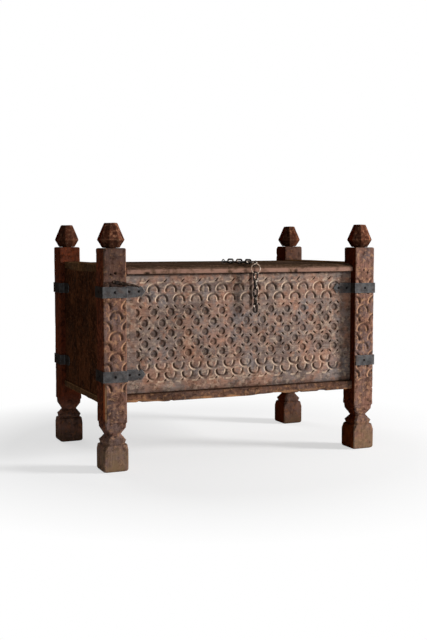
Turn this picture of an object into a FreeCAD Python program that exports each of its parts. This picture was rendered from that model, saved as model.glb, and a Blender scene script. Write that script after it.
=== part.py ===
import FreeCAD, Part
import Sketcher
import math
import os
import re

# Carved dowry chest: four through posts, boards let into grooves, a lid that turns on pintles
# between the back posts, forged corner straps, a chain on the lid and a wooden toggle.
# Millimetres, +X to the right, +Y to the back, +Z up; the origin is on the floor under the middle.

Vector = FreeCAD.Vector
Rotation = FreeCAD.Rotation
doc = FreeCAD.newDocument("dowry_chest")
sheet = doc.addObject("Spreadsheet::Sheet", "sizes")

# Driving dimensions, in millimetres and degrees
SIZES = {
    "chest_width": 1100,
    "chest_depth": 676,
    "post_width": 86,
    "post_rise": 62,
    "post_arris": 2,
    "post_top_round": 5,
    # Cut leg below each post, from the floor up
    "foot_width": 93,
    "foot_round": 9,
    "foot_arris": 4,
    "foot_block_height": 95,
    "foot_tongue_height": 20,
    "foot_tongue_bevel": 16,
    "foot_notch_height": 3,
    "flare_height": 13,
    "flare_bevel": 14,
    "neck_width": 56,
    "neck_bevel": 15,
    "lower_cone_height": 21,
    "upper_cone_height": 25,
    "band_height": 15,
    "band_notch_depth": 3,
    "band_bevel": 11,
    # Faceted finial on each post
    "finial_base_width": 57,
    "finial_width": 92,
    "finial_width_level": 29,
    "finial_crown_width": 52,
    "finial_crown_level": 80,
    "finial_tip_width": 43,
    "finial_height": 89,
    "finial_tenon_width": 24,
    "finial_tenon_length": 35,
    # Front panel and back boards, held by tongues in the posts
    "panel_thickness": 30,
    "panel_setback": 33,
    "tongue_thickness": 14,
    "tongue_length": 24,
    "back_lower_height": 222,
    "back_board_drop": 2,
    "joint_gap": 0.2,
    "cut_overrun": 2,
    # Long bottom rails at the front and the back
    "long_rail_bottom": 237,
    "long_rail_height": 34,
    "long_rail_thickness": 46,
    "long_rail_setback": 17,
    "long_rail_round": 5,
    "long_tenon_length": 34,
    "long_tenon_thickness": 20,
    "tenon_shoulder": 5,
    # End frames: bottom rail, upright boards, top rail level with the lid
    "end_rail_bottom": 230,
    "end_rail_height": 24,
    "end_rail_thickness": 40,
    "end_rail_setback": 15,
    "end_tenon_length": 24,
    "end_tenon_thickness": 18,
    "end_top_rail_rise": 3,
    "end_top_rail_height": 33,
    "end_top_tenon_thickness": 36,
    "end_setback": 21,
    "end_board_thickness": 28,
    "end_tongue_thickness": 12,
    "end_tongue_length": 10,
    "end_board_count": 3,
    # Back top rail, which the open lid leans on
    "back_rail_height": 38,
    "back_rail_thickness": 16,
    "back_rail_setback": 5,
    "back_rail_tenon_thickness": 10,
    "back_rail_tenon_length": 24,
    # Floor boards on ledges of the long rails
    "floor_thickness": 17,
    "floor_ledge": 15,
    "floor_board_count": 4,
    # Lid
    "lid_underside": 697,
    "lid_thickness": 31,
    "lid_front_setback": 11,
    "lid_end_gap": 3,
    "lid_seat_gap": 0.3,
    "lid_front_width": 227,
    "lid_middle_width": 220,
    "lid_front_round": 10,
    "lid_lower_round": 4,
    "pintle_setback": 43,
    "pintle_radius": 12,
    "pintle_length": 30,
    "pintle_end_gap": 4,
    "pintle_play": 0.08,
    "batten_place_share": 0.3,
    "batten_width": 50,
    "batten_thickness": 22,
    "batten_end_gap": 25,
    "batten_bevel": 10,
    "peg_radius": 6,
    "peg_bite": 20,
    # Corner straps of flat iron
    "strap_thickness": 3,
    "strap_height": 40,
    "strap_head": 30,
    "front_left_upper_drop": 81,
    "front_left_lower_rise": 48,
    "back_left_upper_drop": 90,
    "back_left_lower_rise": 46,
    "front_right_upper_drop": 84,
    "front_right_lower_rise": 60,
    "back_right_upper_drop": 86,
    "back_right_lower_rise": 51,
    "short_reach": 57,
    "long_reach": 80,
    "end_reach": 64,
    "broken_reach": 6,
    "nail_head_radius": 5,
    "nail_tip_radius": 2.4,
    "nail_head_height": 2.4,
    # Eye, ring and chain
    "wire": 4.5,
    "link_length": 38,
    "link_width": 20,
    "link_play": 0.4,
    "link_bend_runs": 4,
    "ring_wire": 5,
    "ring_radius": 18,
    "ring_bend_runs": 8,
    "ring_place": 37,
    "ring_standoff": 9,
    "ring_top_rise": 2.5,
    "eye_radius": 8,
    "eye_bend_runs": 6,
    "eye_slack": 2.9,
    "eye_shank_length": 28,
    "eye_shank_tilt": 40,
    "hanging_link_count": 5,
    "lying_link_count": 7,
    "lying_turn": 10.7,
    "lying_pull": 2.3,
    "flat_link_rise": 7.5,
    "upright_link_rise": 10.3,
    "staple_radius": 8,
    "staple_leg_length": 14,
    # Wooden toggle on the front left post
    "toggle_place": 44,
    "toggle_drop": 26,
    "toggle_tilt": 10,
    "toggle_standoff": 12,
    "toggle_butt_length": 14,
    "toggle_arm_length": 85,
    "toggle_waist_share": 0.7,
    "toggle_butt_width": 12,
    "toggle_width": 14,
    "toggle_waist_width": 10.5,
    "toggle_tip_width": 5,
    "toggle_hub_radius": 6,
    "toggle_nail_radius": 2.5,
    "toggle_nail_head_radius": 6,
    "toggle_nail_head_height": 1.5,
    "toggle_nail_bite": 30,
    "running_gap": 0.3,
    "nail_play": 0.1,
}

for row, (alias, number) in enumerate(SIZES.items(), start=1):
    sheet.set("A%d" % row, alias)
    sheet.set("B%d" % row, str(number))
    sheet.setAlias("B%d" % row, alias)
doc.recompute()

# Levels and places that several pieces share, worked out from the driving dimensions
LONG_RAIL_TOP = "(long_rail_bottom + long_rail_height)"
END_RAIL_TOP = "(end_rail_bottom + end_rail_height)"
LID_TOP = "(lid_underside + lid_thickness)"
POST_HEIGHT = "(%s + post_rise)" % LID_TOP
END_TOP_RAIL_BOTTOM = "(lid_underside + end_top_rail_rise)"
PANEL_TOP = "(lid_underside - lid_seat_gap)"
BACK_BOARD_TOP = "(lid_underside - back_board_drop)"
INNER_HALF_LENGTH = "(chest_width / 2 - post_width)"
INNER_HALF_DEPTH = "(chest_depth / 2 - post_width)"
END_FACE = "(chest_width / 2 - end_setback - end_board_thickness)"
PANEL_MIDDLE = "(chest_depth / 2 - panel_setback - panel_thickness / 2)"
LONG_RAIL_MIDDLE = "(chest_depth / 2 - long_rail_setback - long_rail_thickness / 2)"
LID_HALF_LENGTH = "(%s - lid_end_gap)" % INNER_HALF_LENGTH
LID_FRONT = "(chest_depth / 2 - lid_front_setback)"
PINTLE_PLACE = "(chest_depth / 2 - pintle_setback)"
PINTLE_LEVEL = "(lid_underside + lid_thickness / 2)"
RING_PLACE = "(%s + ring_standoff)" % LID_FRONT
RING_TOP_LEVEL = "(%s + ring_top_rise)" % LID_TOP
EYE_LEVEL = "(%s + eye_slack)" % RING_TOP_LEVEL
TOGGLE_LEVEL = "(lid_underside - toggle_drop)"
BATTEN_PLACE = "(batten_place_share * chest_width)"
# Corner radius of a six-sided bore whose flats clear the wire
BORE_REACH = "(wire / 2 + joint_gap) / cos(30 deg)"

# The four corners of the chest: name, side along X, side along Y
CORNERS = (
    ("front_left", -1, -1),
    ("front_right", 1, -1),
    ("back_left", -1, 1),
    ("back_right", 1, 1),
)


def sheet_text(formula):
    """The formula with the sheet's name put before each alias."""
    return re.sub(r"[a-z_]+", lambda m: "sizes." + m.group() if m.group() in SIZES else m.group(), formula)


def value(formula):
    """The number that a formula gives."""
    result = sheet.evalExpression(sheet_text(formula))
    return float(getattr(result, "Value", result))


def bind(thing, name, formula):
    """Tie a property to the sheet."""
    thing.setExpression(name, sheet_text(formula))


def place(thing, x="0", y="0", z="0", rotation=None):
    """Put a piece at a place that follows the sheet."""
    if rotation:
        thing.Placement = FreeCAD.Placement(Vector(), rotation)
    for axis, formula in zip("xyz", (x, y, z)):
        bind(thing, "Placement.Base." + axis, formula)


def new_body(label, x="0", y="0", z="0", rotation=None):
    body = doc.addObject("PartDesign::Body", label + "_body")
    body.Label = label
    place(body, x, y, z, rotation)
    return body


def new_sketch(body, name, plane, lift="0"):
    """A sketch on one of the body's own origin planes, lifted along its normal."""
    sketch = body.newObject("Sketcher::SketchObject", name)
    support = [item for item in body.Origin.OriginFeatures if item.Role == plane][0]
    sketch.AttachmentSupport = [(support, "")]
    sketch.MapMode = "FlatFace"
    bind(sketch, "AttachmentOffset.Base.z", lift)
    return sketch


def draw_outline(sketch, corners):
    """Closed outline. A corner is (x, y), or (x, y, centre x, centre y) where an arc leaves it."""
    points = [Vector(value(corner[0]), value(corner[1]), 0) for corner in corners]
    ends = []
    for index, corner in enumerate(corners):
        start = points[index]
        end = points[(index + 1) % len(points)]
        if len(corner) == 2:
            geometry = sketch.addGeometry(Part.LineSegment(start, end), False)
        else:
            centre = Vector(value(corner[2]), value(corner[3]), 0)
            arms = [start - centre, end - centre]
            angles = [math.atan2(arm.y, arm.x) for arm in arms]
            circle = Part.Circle(centre, Vector(0, 0, 1), arms[0].Length)
            geometry = sketch.addGeometry(Part.ArcOfCircle(circle, angles[0], angles[1]), False)
        ends.append(geometry)
    for index, corner in enumerate(corners):
        follower = ends[(index + 1) % len(ends)]
        sketch.addConstraint(Sketcher.Constraint("Coincident", ends[index], 2, follower, 1))
        for kind, formula in zip(("DistanceX", "DistanceY"), corner[:2]):
            number = sketch.addConstraint(Sketcher.Constraint(kind, -1, 1, ends[index], 1, value(formula)))
            bind(sketch, "Constraints[%d]" % number, formula)
        if len(corner) == 4:
            across = points[(index + 1) % len(points)] - points[index]
            flat = abs(across.y) > abs(across.x)
            kind, formula = ("DistanceX", corner[2]) if flat else ("DistanceY", corner[3])
            number = sketch.addConstraint(Sketcher.Constraint(kind, -1, 1, ends[index], 3, value(formula)))
            bind(sketch, "Constraints[%d]" % number, formula)


def draw_circle(sketch, x, y, radius):
    circle = Part.Circle(Vector(value(x), value(y), 0), Vector(0, 0, 1), value(radius))
    geometry = sketch.addGeometry(circle, False)
    for kind, formula in (("DistanceX", x), ("DistanceY", y)):
        number = sketch.addConstraint(Sketcher.Constraint(kind, -1, 1, geometry, 3, value(formula)))
        bind(sketch, "Constraints[%d]" % number, formula)
    number = sketch.addConstraint(Sketcher.Constraint("Radius", geometry, value(radius)))
    bind(sketch, "Constraints[%d]" % number, radius)


def rectangle(x_from, x_to, y_from, y_to):
    return [(x_from, y_from), (x_to, y_from), (x_to, y_to), (x_from, y_to)]


def octagon(half, x="0", y="0"):
    """Regular octagon about a point, half being the distance from there to its flats."""
    short = "(sqrt(2) - 1) * (%s)" % half
    signs = ((-1, -2), (1, -2), (2, -1), (2, 1), (1, 2), (-1, 2), (-2, 1), (-2, -1))
    corners = []
    for along, across in signs:
        pair = []
        for middle, sign in ((x, along), (y, across)):
            reach = half if abs(sign) == 2 else short
            pair.append("%s %s (%s)" % (middle, "+" if sign > 0 else "-", reach))
        corners.append(tuple(pair))
    return corners


def pad(sketch, length, backwards=False, both_ways=False):
    body = sketch.getParentGeoFeatureGroup()
    feature = body.newObject("PartDesign::Pad", sketch.Name + "_pad")
    feature.Profile = sketch
    bind(feature, "Length", length)
    feature.Reversed = backwards
    feature.Midplane = both_ways
    return feature


def pocket(sketch, length, backwards=False, both_ways=False):
    body = sketch.getParentGeoFeatureGroup()
    feature = body.newObject("PartDesign::Pocket", sketch.Name + "_pocket")
    feature.Profile = sketch
    bind(feature, "Length", length)
    feature.Reversed = backwards
    feature.Midplane = both_ways
    return feature


def cut_bar(body, name, width, height, sides, arrises):
    """Upright square bar, cut to a profile on its four sides and then on its four corners.

    A profile is a list of (level, distance from the bar's axis), from the bottom up.
    """
    block = new_sketch(body, name + "_block", "XY_Plane")
    draw_outline(block, rectangle("-%s / 2" % width, width + " / 2", "-%s / 2" % width, width + " / 2"))
    pad(block, height)
    cuts = (
        ("XZ_Plane", sides, 0), ("YZ_Plane", sides, 0),
        ("XZ_Plane", arrises, 45), ("XZ_Plane", arrises, -45))
    for index, (plane, profile, turn) in enumerate(cuts):
        for side in (-1, 1):
            sketch = new_sketch(body, "%s_cut_%d_%s" % (name, index, "left" if side < 0 else "right"), plane)
            if turn:
                sketch.AttachmentOffset = FreeCAD.Placement(Vector(), Rotation(Vector(0, 1, 0), turn))
            levels = [level for level, _ in profile]
            levels[0] = "-cut_overrun"
            levels[-1] = height + " + cut_overrun"
            outline = [
                ("%d * (%s)" % (side, reach), level)
                for level, (_, reach) in zip(levels, profile)]
            outline.append(("%d * %s" % (side, width), levels[-1]))
            outline.append(("%d * %s" % (side, width), levels[0]))
            draw_outline(sketch, outline)
            pocket(sketch, "2 * " + width, both_ways=True)


def corner_reach(half, bevel):
    """Distance from the axis to the flat that bevels a square's corner."""
    return "(2 * (%s) - %s) / sqrt(2)" % (half, bevel)


def plan_cut(body, name, outline, level, height):
    """Recess with an upright wall, drawn in plan and cut upwards from a level."""
    sketch = new_sketch(body, name, "XY_Plane", level)
    draw_outline(sketch, outline)
    pocket(sketch, height, backwards=True)


def inward(side, distance):
    """Local coordinate in a post, measured inwards from its outer face."""
    return "%d * (%s - post_width / 2)" % (-side, distance)


def mortise(body, name, side_x, across_from, across_to, side_y, deep_from, deep_to, level, height):
    """Recess in a post: both ranges run inwards from the post's two outer faces."""
    outline = rectangle(
        inward(side_x, across_from), inward(side_x, across_to),
        inward(side_y, deep_from), inward(side_y, deep_to))
    plan_cut(body, name, outline, level, height)


def make_post(corner, side_x, side_y):
    """Through post: cut leg, shaft, and the mortises, grooves and sockets of its neighbours."""
    body = new_body(
        "post_" + corner,
        "%d * (chest_width - post_width) / 2" % side_x,
        "%d * (chest_depth - post_width) / 2" % side_y)
    block = "foot_block_height"
    flare = block + " + foot_notch_height + flare_height"
    neck = flare + " + lower_cone_height"
    band = neck + " + upper_cone_height"
    shaft = band + " + band_height + foot_notch_height"
    # The middle of the rounded foot edge lies at 45 degrees of its arc
    arc_share = "(1 - sqrt(0.5))"
    foot, post, notched = "foot_width / 2", "post_width / 2", "post_width / 2 - band_notch_depth"
    sides = [
        ("0", foot + " - foot_round"),
        ("foot_round * " + arc_share, foot + " - foot_round * " + arc_share),
        ("foot_round", foot),
        (block, foot),
        (block + " + foot_notch_height", notched),
        (flare, post),
        (neck, "neck_width / 2"),
        (band, notched),
        (band + " + band_height", notched),
        (shaft, post),
        (POST_HEIGHT + " - post_top_round", post),
        (POST_HEIGHT + " - post_top_round * " + arc_share, post + " - post_top_round * " + arc_share),
        (POST_HEIGHT, post + " - post_top_round"),
    ]
    arrises = [
        ("0", corner_reach(foot + " - foot_round", "foot_arris")),
        ("foot_round * " + arc_share, corner_reach(foot + " - foot_round * " + arc_share, "foot_arris")),
        ("foot_round", corner_reach(foot, "foot_arris")),
        (block + " - foot_tongue_height", corner_reach(foot, "foot_arris")),
        (block, corner_reach(foot, "foot_tongue_bevel")),
        (block + " + foot_notch_height", corner_reach(notched, "foot_tongue_bevel")),
        (flare, corner_reach(post, "flare_bevel")),
        (neck, corner_reach("neck_width / 2", "neck_bevel")),
        (band, corner_reach(notched, "band_bevel")),
        (band + " + band_height", corner_reach(notched, "foot_arris")),
        (shaft, corner_reach(post, "post_arris")),
        (POST_HEIGHT + " - post_top_round", corner_reach(post, "post_arris")),
        (POST_HEIGHT + " - post_top_round * " + arc_share,
         corner_reach(post + " - post_top_round * " + arc_share, "post_arris")),
        (POST_HEIGHT, corner_reach(post + " - post_top_round", "post_arris")),
    ]
    cut_bar(body, corner + "_shaft", "foot_width", POST_HEIGHT, sides, arrises)
    open_side = "post_width + cut_overrun"
    panel_tongue = "panel_setback + (panel_thickness - tongue_thickness) / 2"
    mortise(
        body, corner + "_panel_groove", side_x, "post_width - tongue_length - joint_gap", open_side,
        side_y, panel_tongue + " - joint_gap", panel_tongue + " + tongue_thickness + joint_gap",
        LONG_RAIL_TOP, "%s - %s + joint_gap" % (PANEL_TOP, LONG_RAIL_TOP))
    rail_tenon = "long_rail_setback + (long_rail_thickness - long_tenon_thickness) / 2"
    mortise(
        body, corner + "_long_rail_mortise", side_x, "post_width - long_tenon_length - joint_gap", open_side,
        side_y, rail_tenon + " - joint_gap", rail_tenon + " + long_tenon_thickness + joint_gap",
        "long_rail_bottom + tenon_shoulder - joint_gap",
        "long_rail_height - 2 * tenon_shoulder + 2 * joint_gap")
    end_tenon = "end_rail_setback + (end_rail_thickness - end_tenon_thickness) / 2"
    mortise(
        body, corner + "_end_rail_mortise",
        side_x, end_tenon + " - joint_gap", end_tenon + " + end_tenon_thickness + joint_gap",
        side_y, "post_width - end_tenon_length - joint_gap", open_side,
        "end_rail_bottom + tenon_shoulder - joint_gap",
        "end_rail_height - 2 * tenon_shoulder + 2 * joint_gap")
    top_tenon = "end_setback + (post_width - end_setback - end_top_tenon_thickness) / 2"
    mortise(
        body, corner + "_end_top_mortise",
        side_x, top_tenon + " - joint_gap", top_tenon + " + end_top_tenon_thickness + joint_gap",
        side_y, "post_width - end_tenon_length - joint_gap", open_side,
        END_TOP_RAIL_BOTTOM + " + tenon_shoulder - joint_gap",
        "end_top_rail_height - 2 * tenon_shoulder + 2 * joint_gap")
    end_tongue = "end_setback + (end_board_thickness - end_tongue_thickness) / 2"
    mortise(
        body, corner + "_end_groove",
        side_x, end_tongue + " - joint_gap", end_tongue + " + end_tongue_thickness + joint_gap",
        side_y, "post_width - end_tongue_length - joint_gap", open_side,
        END_RAIL_TOP, "%s - %s" % (END_TOP_RAIL_BOTTOM, END_RAIL_TOP))
    if side_y > 0:
        back_tenon = "back_rail_setback + (back_rail_thickness - back_rail_tenon_thickness) / 2"
        mortise(
            body, corner + "_back_rail_mortise",
            side_x, "post_width - back_rail_tenon_length - joint_gap", open_side,
            side_y, back_tenon + " - joint_gap", back_tenon + " + back_rail_tenon_thickness + joint_gap",
            LID_TOP + " - back_rail_height + tenon_shoulder - joint_gap",
            "back_rail_height - 2 * tenon_shoulder + 2 * joint_gap")
        socket = new_sketch(body, corner + "_pintle_socket", "YZ_Plane", "%d * post_width / 2" % -side_x)
        draw_circle(socket, "post_width / 2 - pintle_setback", PINTLE_LEVEL, "pintle_radius + pintle_play")
        pocket(socket, "pintle_length - lid_end_gap + pintle_end_gap", backwards=side_x > 0)
    socket = new_sketch(body, corner + "_finial_socket", "XY_Plane", POST_HEIGHT)
    half = "(finial_tenon_width / 2 + joint_gap)"
    draw_outline(socket, rectangle("-" + half, half, "-" + half, half))
    pocket(socket, "finial_tenon_length + joint_gap")
    if corner == "front_left":
        hole = new_sketch(body, corner + "_toggle_nail_hole", "XZ_Plane", "post_width / 2")
        draw_outline(hole, octagon(
            "toggle_nail_radius + nail_play", "toggle_place - post_width / 2", TOGGLE_LEVEL))
        pocket(hole, "toggle_nail_bite + joint_gap")
    return body


def make_finial(corner, side_x, side_y):
    """Octagonal finial: base, widest ridge, crown and flat tip, with a square tenon below."""
    body = new_body(
        "finial_" + corner,
        "%d * (chest_width - post_width) / 2" % side_x,
        "%d * (chest_depth - post_width) / 2" % side_y,
        POST_HEIGHT)
    profile = [
        ("0", "finial_base_width / 2"),
        ("finial_width_level", "finial_width / 2"),
        ("finial_crown_level", "finial_crown_width / 2"),
        ("finial_height", "finial_tip_width / 2"),
    ]
    cut_bar(body, corner + "_knob", "finial_width", "finial_height", profile, profile)
    tenon = new_sketch(body, corner + "_knob_tenon", "XY_Plane")
    half = "finial_tenon_width / 2"
    draw_outline(tenon, rectangle("-" + half, half, "-" + half, half))
    pad(tenon, "finial_tenon_length", backwards=True)
    return body


def make_long_board(label, side_y, bottom, height):
    """Board of the front or back, with a tongue at each end for the posts' grooves."""
    body = new_body(label, "0", "%d * %s" % (side_y, PANEL_MIDDLE), bottom)
    half, tongue = "panel_thickness / 2", "tongue_thickness / 2"
    shoulder = INNER_HALF_LENGTH
    tip = "(%s + tongue_length)" % INNER_HALF_LENGTH
    sketch = new_sketch(body, label + "_plan", "XY_Plane")
    draw_outline(sketch, [
        ("-" + tip, "-" + tongue), ("-" + shoulder, "-" + tongue), ("-" + shoulder, "-" + half),
        (shoulder, "-" + half), (shoulder, "-" + tongue), (tip, "-" + tongue),
        (tip, tongue), (shoulder, tongue), (shoulder, half),
        ("-" + shoulder, half), ("-" + shoulder, tongue), ("-" + tip, tongue),
    ])
    pad(sketch, height)
    return body


def tenoned_bar(body, label, along, half_length, thickness, height, tenon_length, tenon_thickness):
    """Rail with a shouldered tenon at each end, lying along X or along Y."""
    def laid(half_long, half_wide):
        if along == "x":
            return rectangle("-(%s)" % half_long, half_long, "-%s / 2" % half_wide, half_wide + " / 2")
        return rectangle("-%s / 2" % half_wide, half_wide + " / 2", "-(%s)" % half_long, half_long)

    sketch = new_sketch(body, label + "_plan", "XY_Plane")
    draw_outline(sketch, laid(half_length, thickness))
    pad(sketch, height)
    sketch = new_sketch(body, label + "_tenons", "XY_Plane", "tenon_shoulder")
    draw_outline(sketch, laid("%s + %s" % (half_length, tenon_length), tenon_thickness))
    pad(sketch, height + " - 2 * tenon_shoulder")


def make_long_rail(label, side_y):
    """Front or back bottom rail, with the ledge that carries the floor boards."""
    body = new_body(label, "0", "%d * %s" % (side_y, LONG_RAIL_MIDDLE), "long_rail_bottom")
    tenoned_bar(
        body, label, "x", INNER_HALF_LENGTH, "long_rail_thickness", "long_rail_height",
        "long_tenon_length", "long_tenon_thickness")
    ledge = rectangle(
        "-" + INNER_HALF_LENGTH, INNER_HALF_LENGTH,
        "%d * (long_rail_thickness / 2 - floor_ledge)" % -side_y,
        "%d * (long_rail_thickness / 2 + cut_overrun)" % -side_y)
    plan_cut(
        body, label + "_ledge", ledge, "long_rail_height - floor_thickness", "floor_thickness + cut_overrun")
    doc.recompute()
    # The lower outer arris is worn round
    outer = side_y * value("long_rail_thickness / 2")
    tip = body.Tip
    worn = [
        "Edge%d" % (index + 1) for index, edge in enumerate(tip.Shape.Edges)
        if abs(edge.BoundBox.YMin - outer) < 0.01 and abs(edge.BoundBox.YMax - outer) < 0.01
        and edge.BoundBox.ZMax < 0.01]
    fillet = body.newObject("PartDesign::Fillet", label + "_worn_arris")
    fillet.Base = (tip, worn)
    bind(fillet, "Radius", "long_rail_round")
    return body


def make_end_bottom_rail(label, side_x):
    """End bottom rail with a groove along its top for the upright boards."""
    middle = "(chest_width / 2 - end_rail_setback - end_rail_thickness / 2)"
    body = new_body(label, "%d * %s" % (side_x, middle), "0", "end_rail_bottom")
    tenoned_bar(
        body, label, "y", INNER_HALF_DEPTH, "end_rail_thickness", "end_rail_height",
        "end_tenon_length", "end_tenon_thickness")
    board = "%d * (%s + end_board_thickness / 2 - %s)" % (side_x, END_FACE, middle)
    half = "(end_tongue_thickness / 2 + joint_gap)"
    groove = rectangle(
        "%s - %s" % (board, half), "%s + %s" % (board, half), "-" + INNER_HALF_DEPTH, INNER_HALF_DEPTH)
    depth = "end_tongue_length + joint_gap"
    plan_cut(body, label + "_groove", groove, "end_rail_height - (%s)" % depth, depth + " + cut_overrun")
    return body


def make_end_top_rail(label, side_x):
    """End rail level with the lid, flush with the posts' inner faces, grooved below."""
    middle = "(chest_width / 2 - (end_setback + post_width) / 2)"
    body = new_body(label, "%d * %s" % (side_x, middle), "0", END_TOP_RAIL_BOTTOM)
    tenoned_bar(
        body, label, "y", INNER_HALF_DEPTH, "(post_width - end_setback)", "end_top_rail_height",
        "end_tenon_length", "end_top_tenon_thickness")
    board = "%d * (%s + end_board_thickness / 2 - %s)" % (side_x, END_FACE, middle)
    half = "(end_tongue_thickness / 2 + joint_gap)"
    groove = rectangle(
        "%s - %s" % (board, half), "%s + %s" % (board, half), "-" + INNER_HALF_DEPTH, INNER_HALF_DEPTH)
    plan_cut(body, label + "_groove", groove, "-cut_overrun", "cut_overrun + end_tongue_length + joint_gap")
    return body


def make_back_top_rail(label):
    middle = "(chest_depth / 2 - back_rail_setback - back_rail_thickness / 2)"
    body = new_body(label, "0", middle, LID_TOP + " - back_rail_height")
    tenoned_bar(
        body, label, "x", INNER_HALF_LENGTH, "back_rail_thickness", "back_rail_height",
        "back_rail_tenon_length", "back_rail_tenon_thickness")
    return body


def make_end_board(label, side_x, index):
    """Upright end board: tongues into both end rails, and into the post at the outer boards."""
    board_width = "(2 * %s / end_board_count)" % INNER_HALF_DEPTH
    middle = "%d * %s / 2" % (2 * index + 1 - SIZES["end_board_count"], board_width)
    body = new_body(
        label, "%d * (%s + end_board_thickness / 2)" % (side_x, END_FACE), middle, END_RAIL_TOP)
    half, tongue = "end_board_thickness / 2", "end_tongue_thickness / 2"
    height = "(%s - %s)" % (END_TOP_RAIL_BOTTOM, END_RAIL_TOP)
    sketch = new_sketch(body, label + "_section", "XZ_Plane")
    draw_outline(sketch, [
        ("-" + tongue, "-end_tongue_length"), (tongue, "-end_tongue_length"), (tongue, "0"), (half, "0"),
        (half, height), (tongue, height), (tongue, height + " + end_tongue_length"),
        ("-" + tongue, height + " + end_tongue_length"), ("-" + tongue, height), ("-" + half, height),
        ("-" + half, "0"), ("-" + tongue, "0"),
    ])
    pad(sketch, board_width, both_ways=True)
    outer = {0: -1, SIZES["end_board_count"] - 1: 1}.get(index)
    if outer:
        sketch = new_sketch(body, label + "_side_tongue", "XY_Plane")
        draw_outline(sketch, rectangle(
            "-" + tongue, tongue, "%d * %s / 4" % (outer, board_width),
            "%d * (%s / 2 + end_tongue_length)" % (outer, board_width)))
        pad(sketch, height)
    return body


def make_floor_board(label, index):
    """Floor board from ledge to ledge; the outermost ones are notched round the posts."""
    board_width = "(2 * %s / floor_board_count)" % END_FACE
    left = "(%d * %s - %s)" % (index, board_width, END_FACE)
    right = "(%d * %s - %s)" % (index + 1, board_width, END_FACE)
    body = new_body(label, "0", "0", LONG_RAIL_TOP + " - floor_thickness")
    deep = "(chest_depth / 2 - long_rail_setback - long_rail_thickness - joint_gap + floor_ledge)"
    shy = "(%s - joint_gap)" % INNER_HALF_DEPTH
    notch = "(%s - joint_gap)" % INNER_HALF_LENGTH
    sketch = new_sketch(body, label + "_plan", "XY_Plane")
    if index == 0:
        corners = [
            (left, "-" + shy), ("-" + notch, "-" + shy), ("-" + notch, "-" + deep), (right, "-" + deep),
            (right, deep), ("-" + notch, deep), ("-" + notch, shy), (left, shy)]
    elif index == SIZES["floor_board_count"] - 1:
        corners = [
            (left, "-" + deep), (notch, "-" + deep), (notch, "-" + shy), (right, "-" + shy),
            (right, shy), (notch, shy), (notch, deep), (left, deep)]
    else:
        corners = rectangle(left, right, "-" + deep, deep)
    draw_outline(sketch, corners)
    pad(sketch, "floor_thickness")
    return body


def peg_holes(body, name, places, level, depth):
    """Eight-sided holes for the whittled batten pegs, from a level upwards."""
    sketch = new_sketch(body, name, "XY_Plane", level)
    for x, y in places:
        draw_outline(sketch, octagon("peg_radius + joint_gap", x, y))
    pocket(sketch, depth, backwards=True)


def lid_joint(index):
    """Middle of each lid board, measured from the lid's front face."""
    return (
        "lid_front_width / 2",
        "lid_front_width + lid_middle_width / 2",
        "(lid_front_width + lid_middle_width + %s + %s) / 2" % (LID_FRONT, PINTLE_PLACE),
    )[index]


def batten_pegs(index):
    return [("%d * %s" % (side, BATTEN_PLACE), lid_joint(index)) for side in (-1, 1)]


def make_lid_front():
    """Front lid board: worn round upper arris, and the holes of the eye and the staple."""
    body = new_body("lid_board_front_wood", "0", "-" + LID_FRONT, "lid_underside")
    sketch = new_sketch(body, "lid_front_section", "YZ_Plane")
    draw_outline(sketch, [
        ("lid_lower_round", "0"),
        ("lid_front_width", "0"),
        ("lid_front_width", "lid_thickness"),
        ("lid_front_round", "lid_thickness", "lid_front_round", "lid_thickness - lid_front_round"),
        ("0", "lid_thickness - lid_front_round"),
        ("0", "lid_lower_round", "lid_lower_round", "lid_lower_round"),
    ])
    pad(sketch, "2 * " + LID_HALF_LENGTH, both_ways=True)
    peg_holes(
        body, "lid_front_peg_holes", batten_pegs(0), "-cut_overrun", "cut_overrun + peg_bite + joint_gap")
    drill = doc.addObject("Part::Prism", "eye_drill")
    bind(drill, "Circumradius", BORE_REACH)
    bind(drill, "Height", "eye_radius + eye_shank_length + joint_gap")
    place(drill, "ring_place", "-" + RING_PLACE, EYE_LEVEL, shank_rotation())
    drills = [drill]
    for side in (-1, 1):
        drill = doc.addObject("Part::Prism", "staple_drill")
        bind(drill, "Circumradius", BORE_REACH)
        bind(drill, "Height", "staple_leg_length + cut_overrun + joint_gap")
        leg = staple_place() + lying_direction() * side * value("staple_radius")
        drill.Placement.Base = Vector(leg.x, leg.y, value(LID_TOP + " - staple_leg_length - joint_gap"))
        drills.append(drill)
    tool = doc.addObject("Part::MultiFuse", "lid_front_drills")
    tool.Shapes = drills
    board = doc.addObject("Part::Cut", "lid_board_front")
    board.Base = body
    board.Tool = tool
    board.Label = "lid_board_front"
    return board


def shank_rotation():
    """Turns +Z to the eye's shank, which runs back and down into the lid."""
    return Rotation(Vector(1, 0, 0), -(90 + value("eye_shank_tilt")))


def staple_place():
    """Middle of the staple on the lid, where the lying chain ends, in the chest's frame."""
    forward = lying_direction()
    return lying_start() + forward * (lying_length() + value("staple_radius - wire - link_play"))


def make_lid_middle():
    body = new_body("lid_board_middle", "0", "-%s + lid_front_width" % LID_FRONT, "lid_underside")
    sketch = new_sketch(body, "lid_middle_section", "YZ_Plane")
    draw_outline(sketch, rectangle("0", "lid_middle_width", "0", "lid_thickness"))
    pad(sketch, "2 * " + LID_HALF_LENGTH, both_ways=True)
    places = [("%d * %s" % (side, BATTEN_PLACE), "lid_middle_width / 2") for side in (-1, 1)]
    peg_holes(body, "lid_middle_peg_holes", places, "-cut_overrun", "cut_overrun + peg_bite + joint_gap")
    return body


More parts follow.
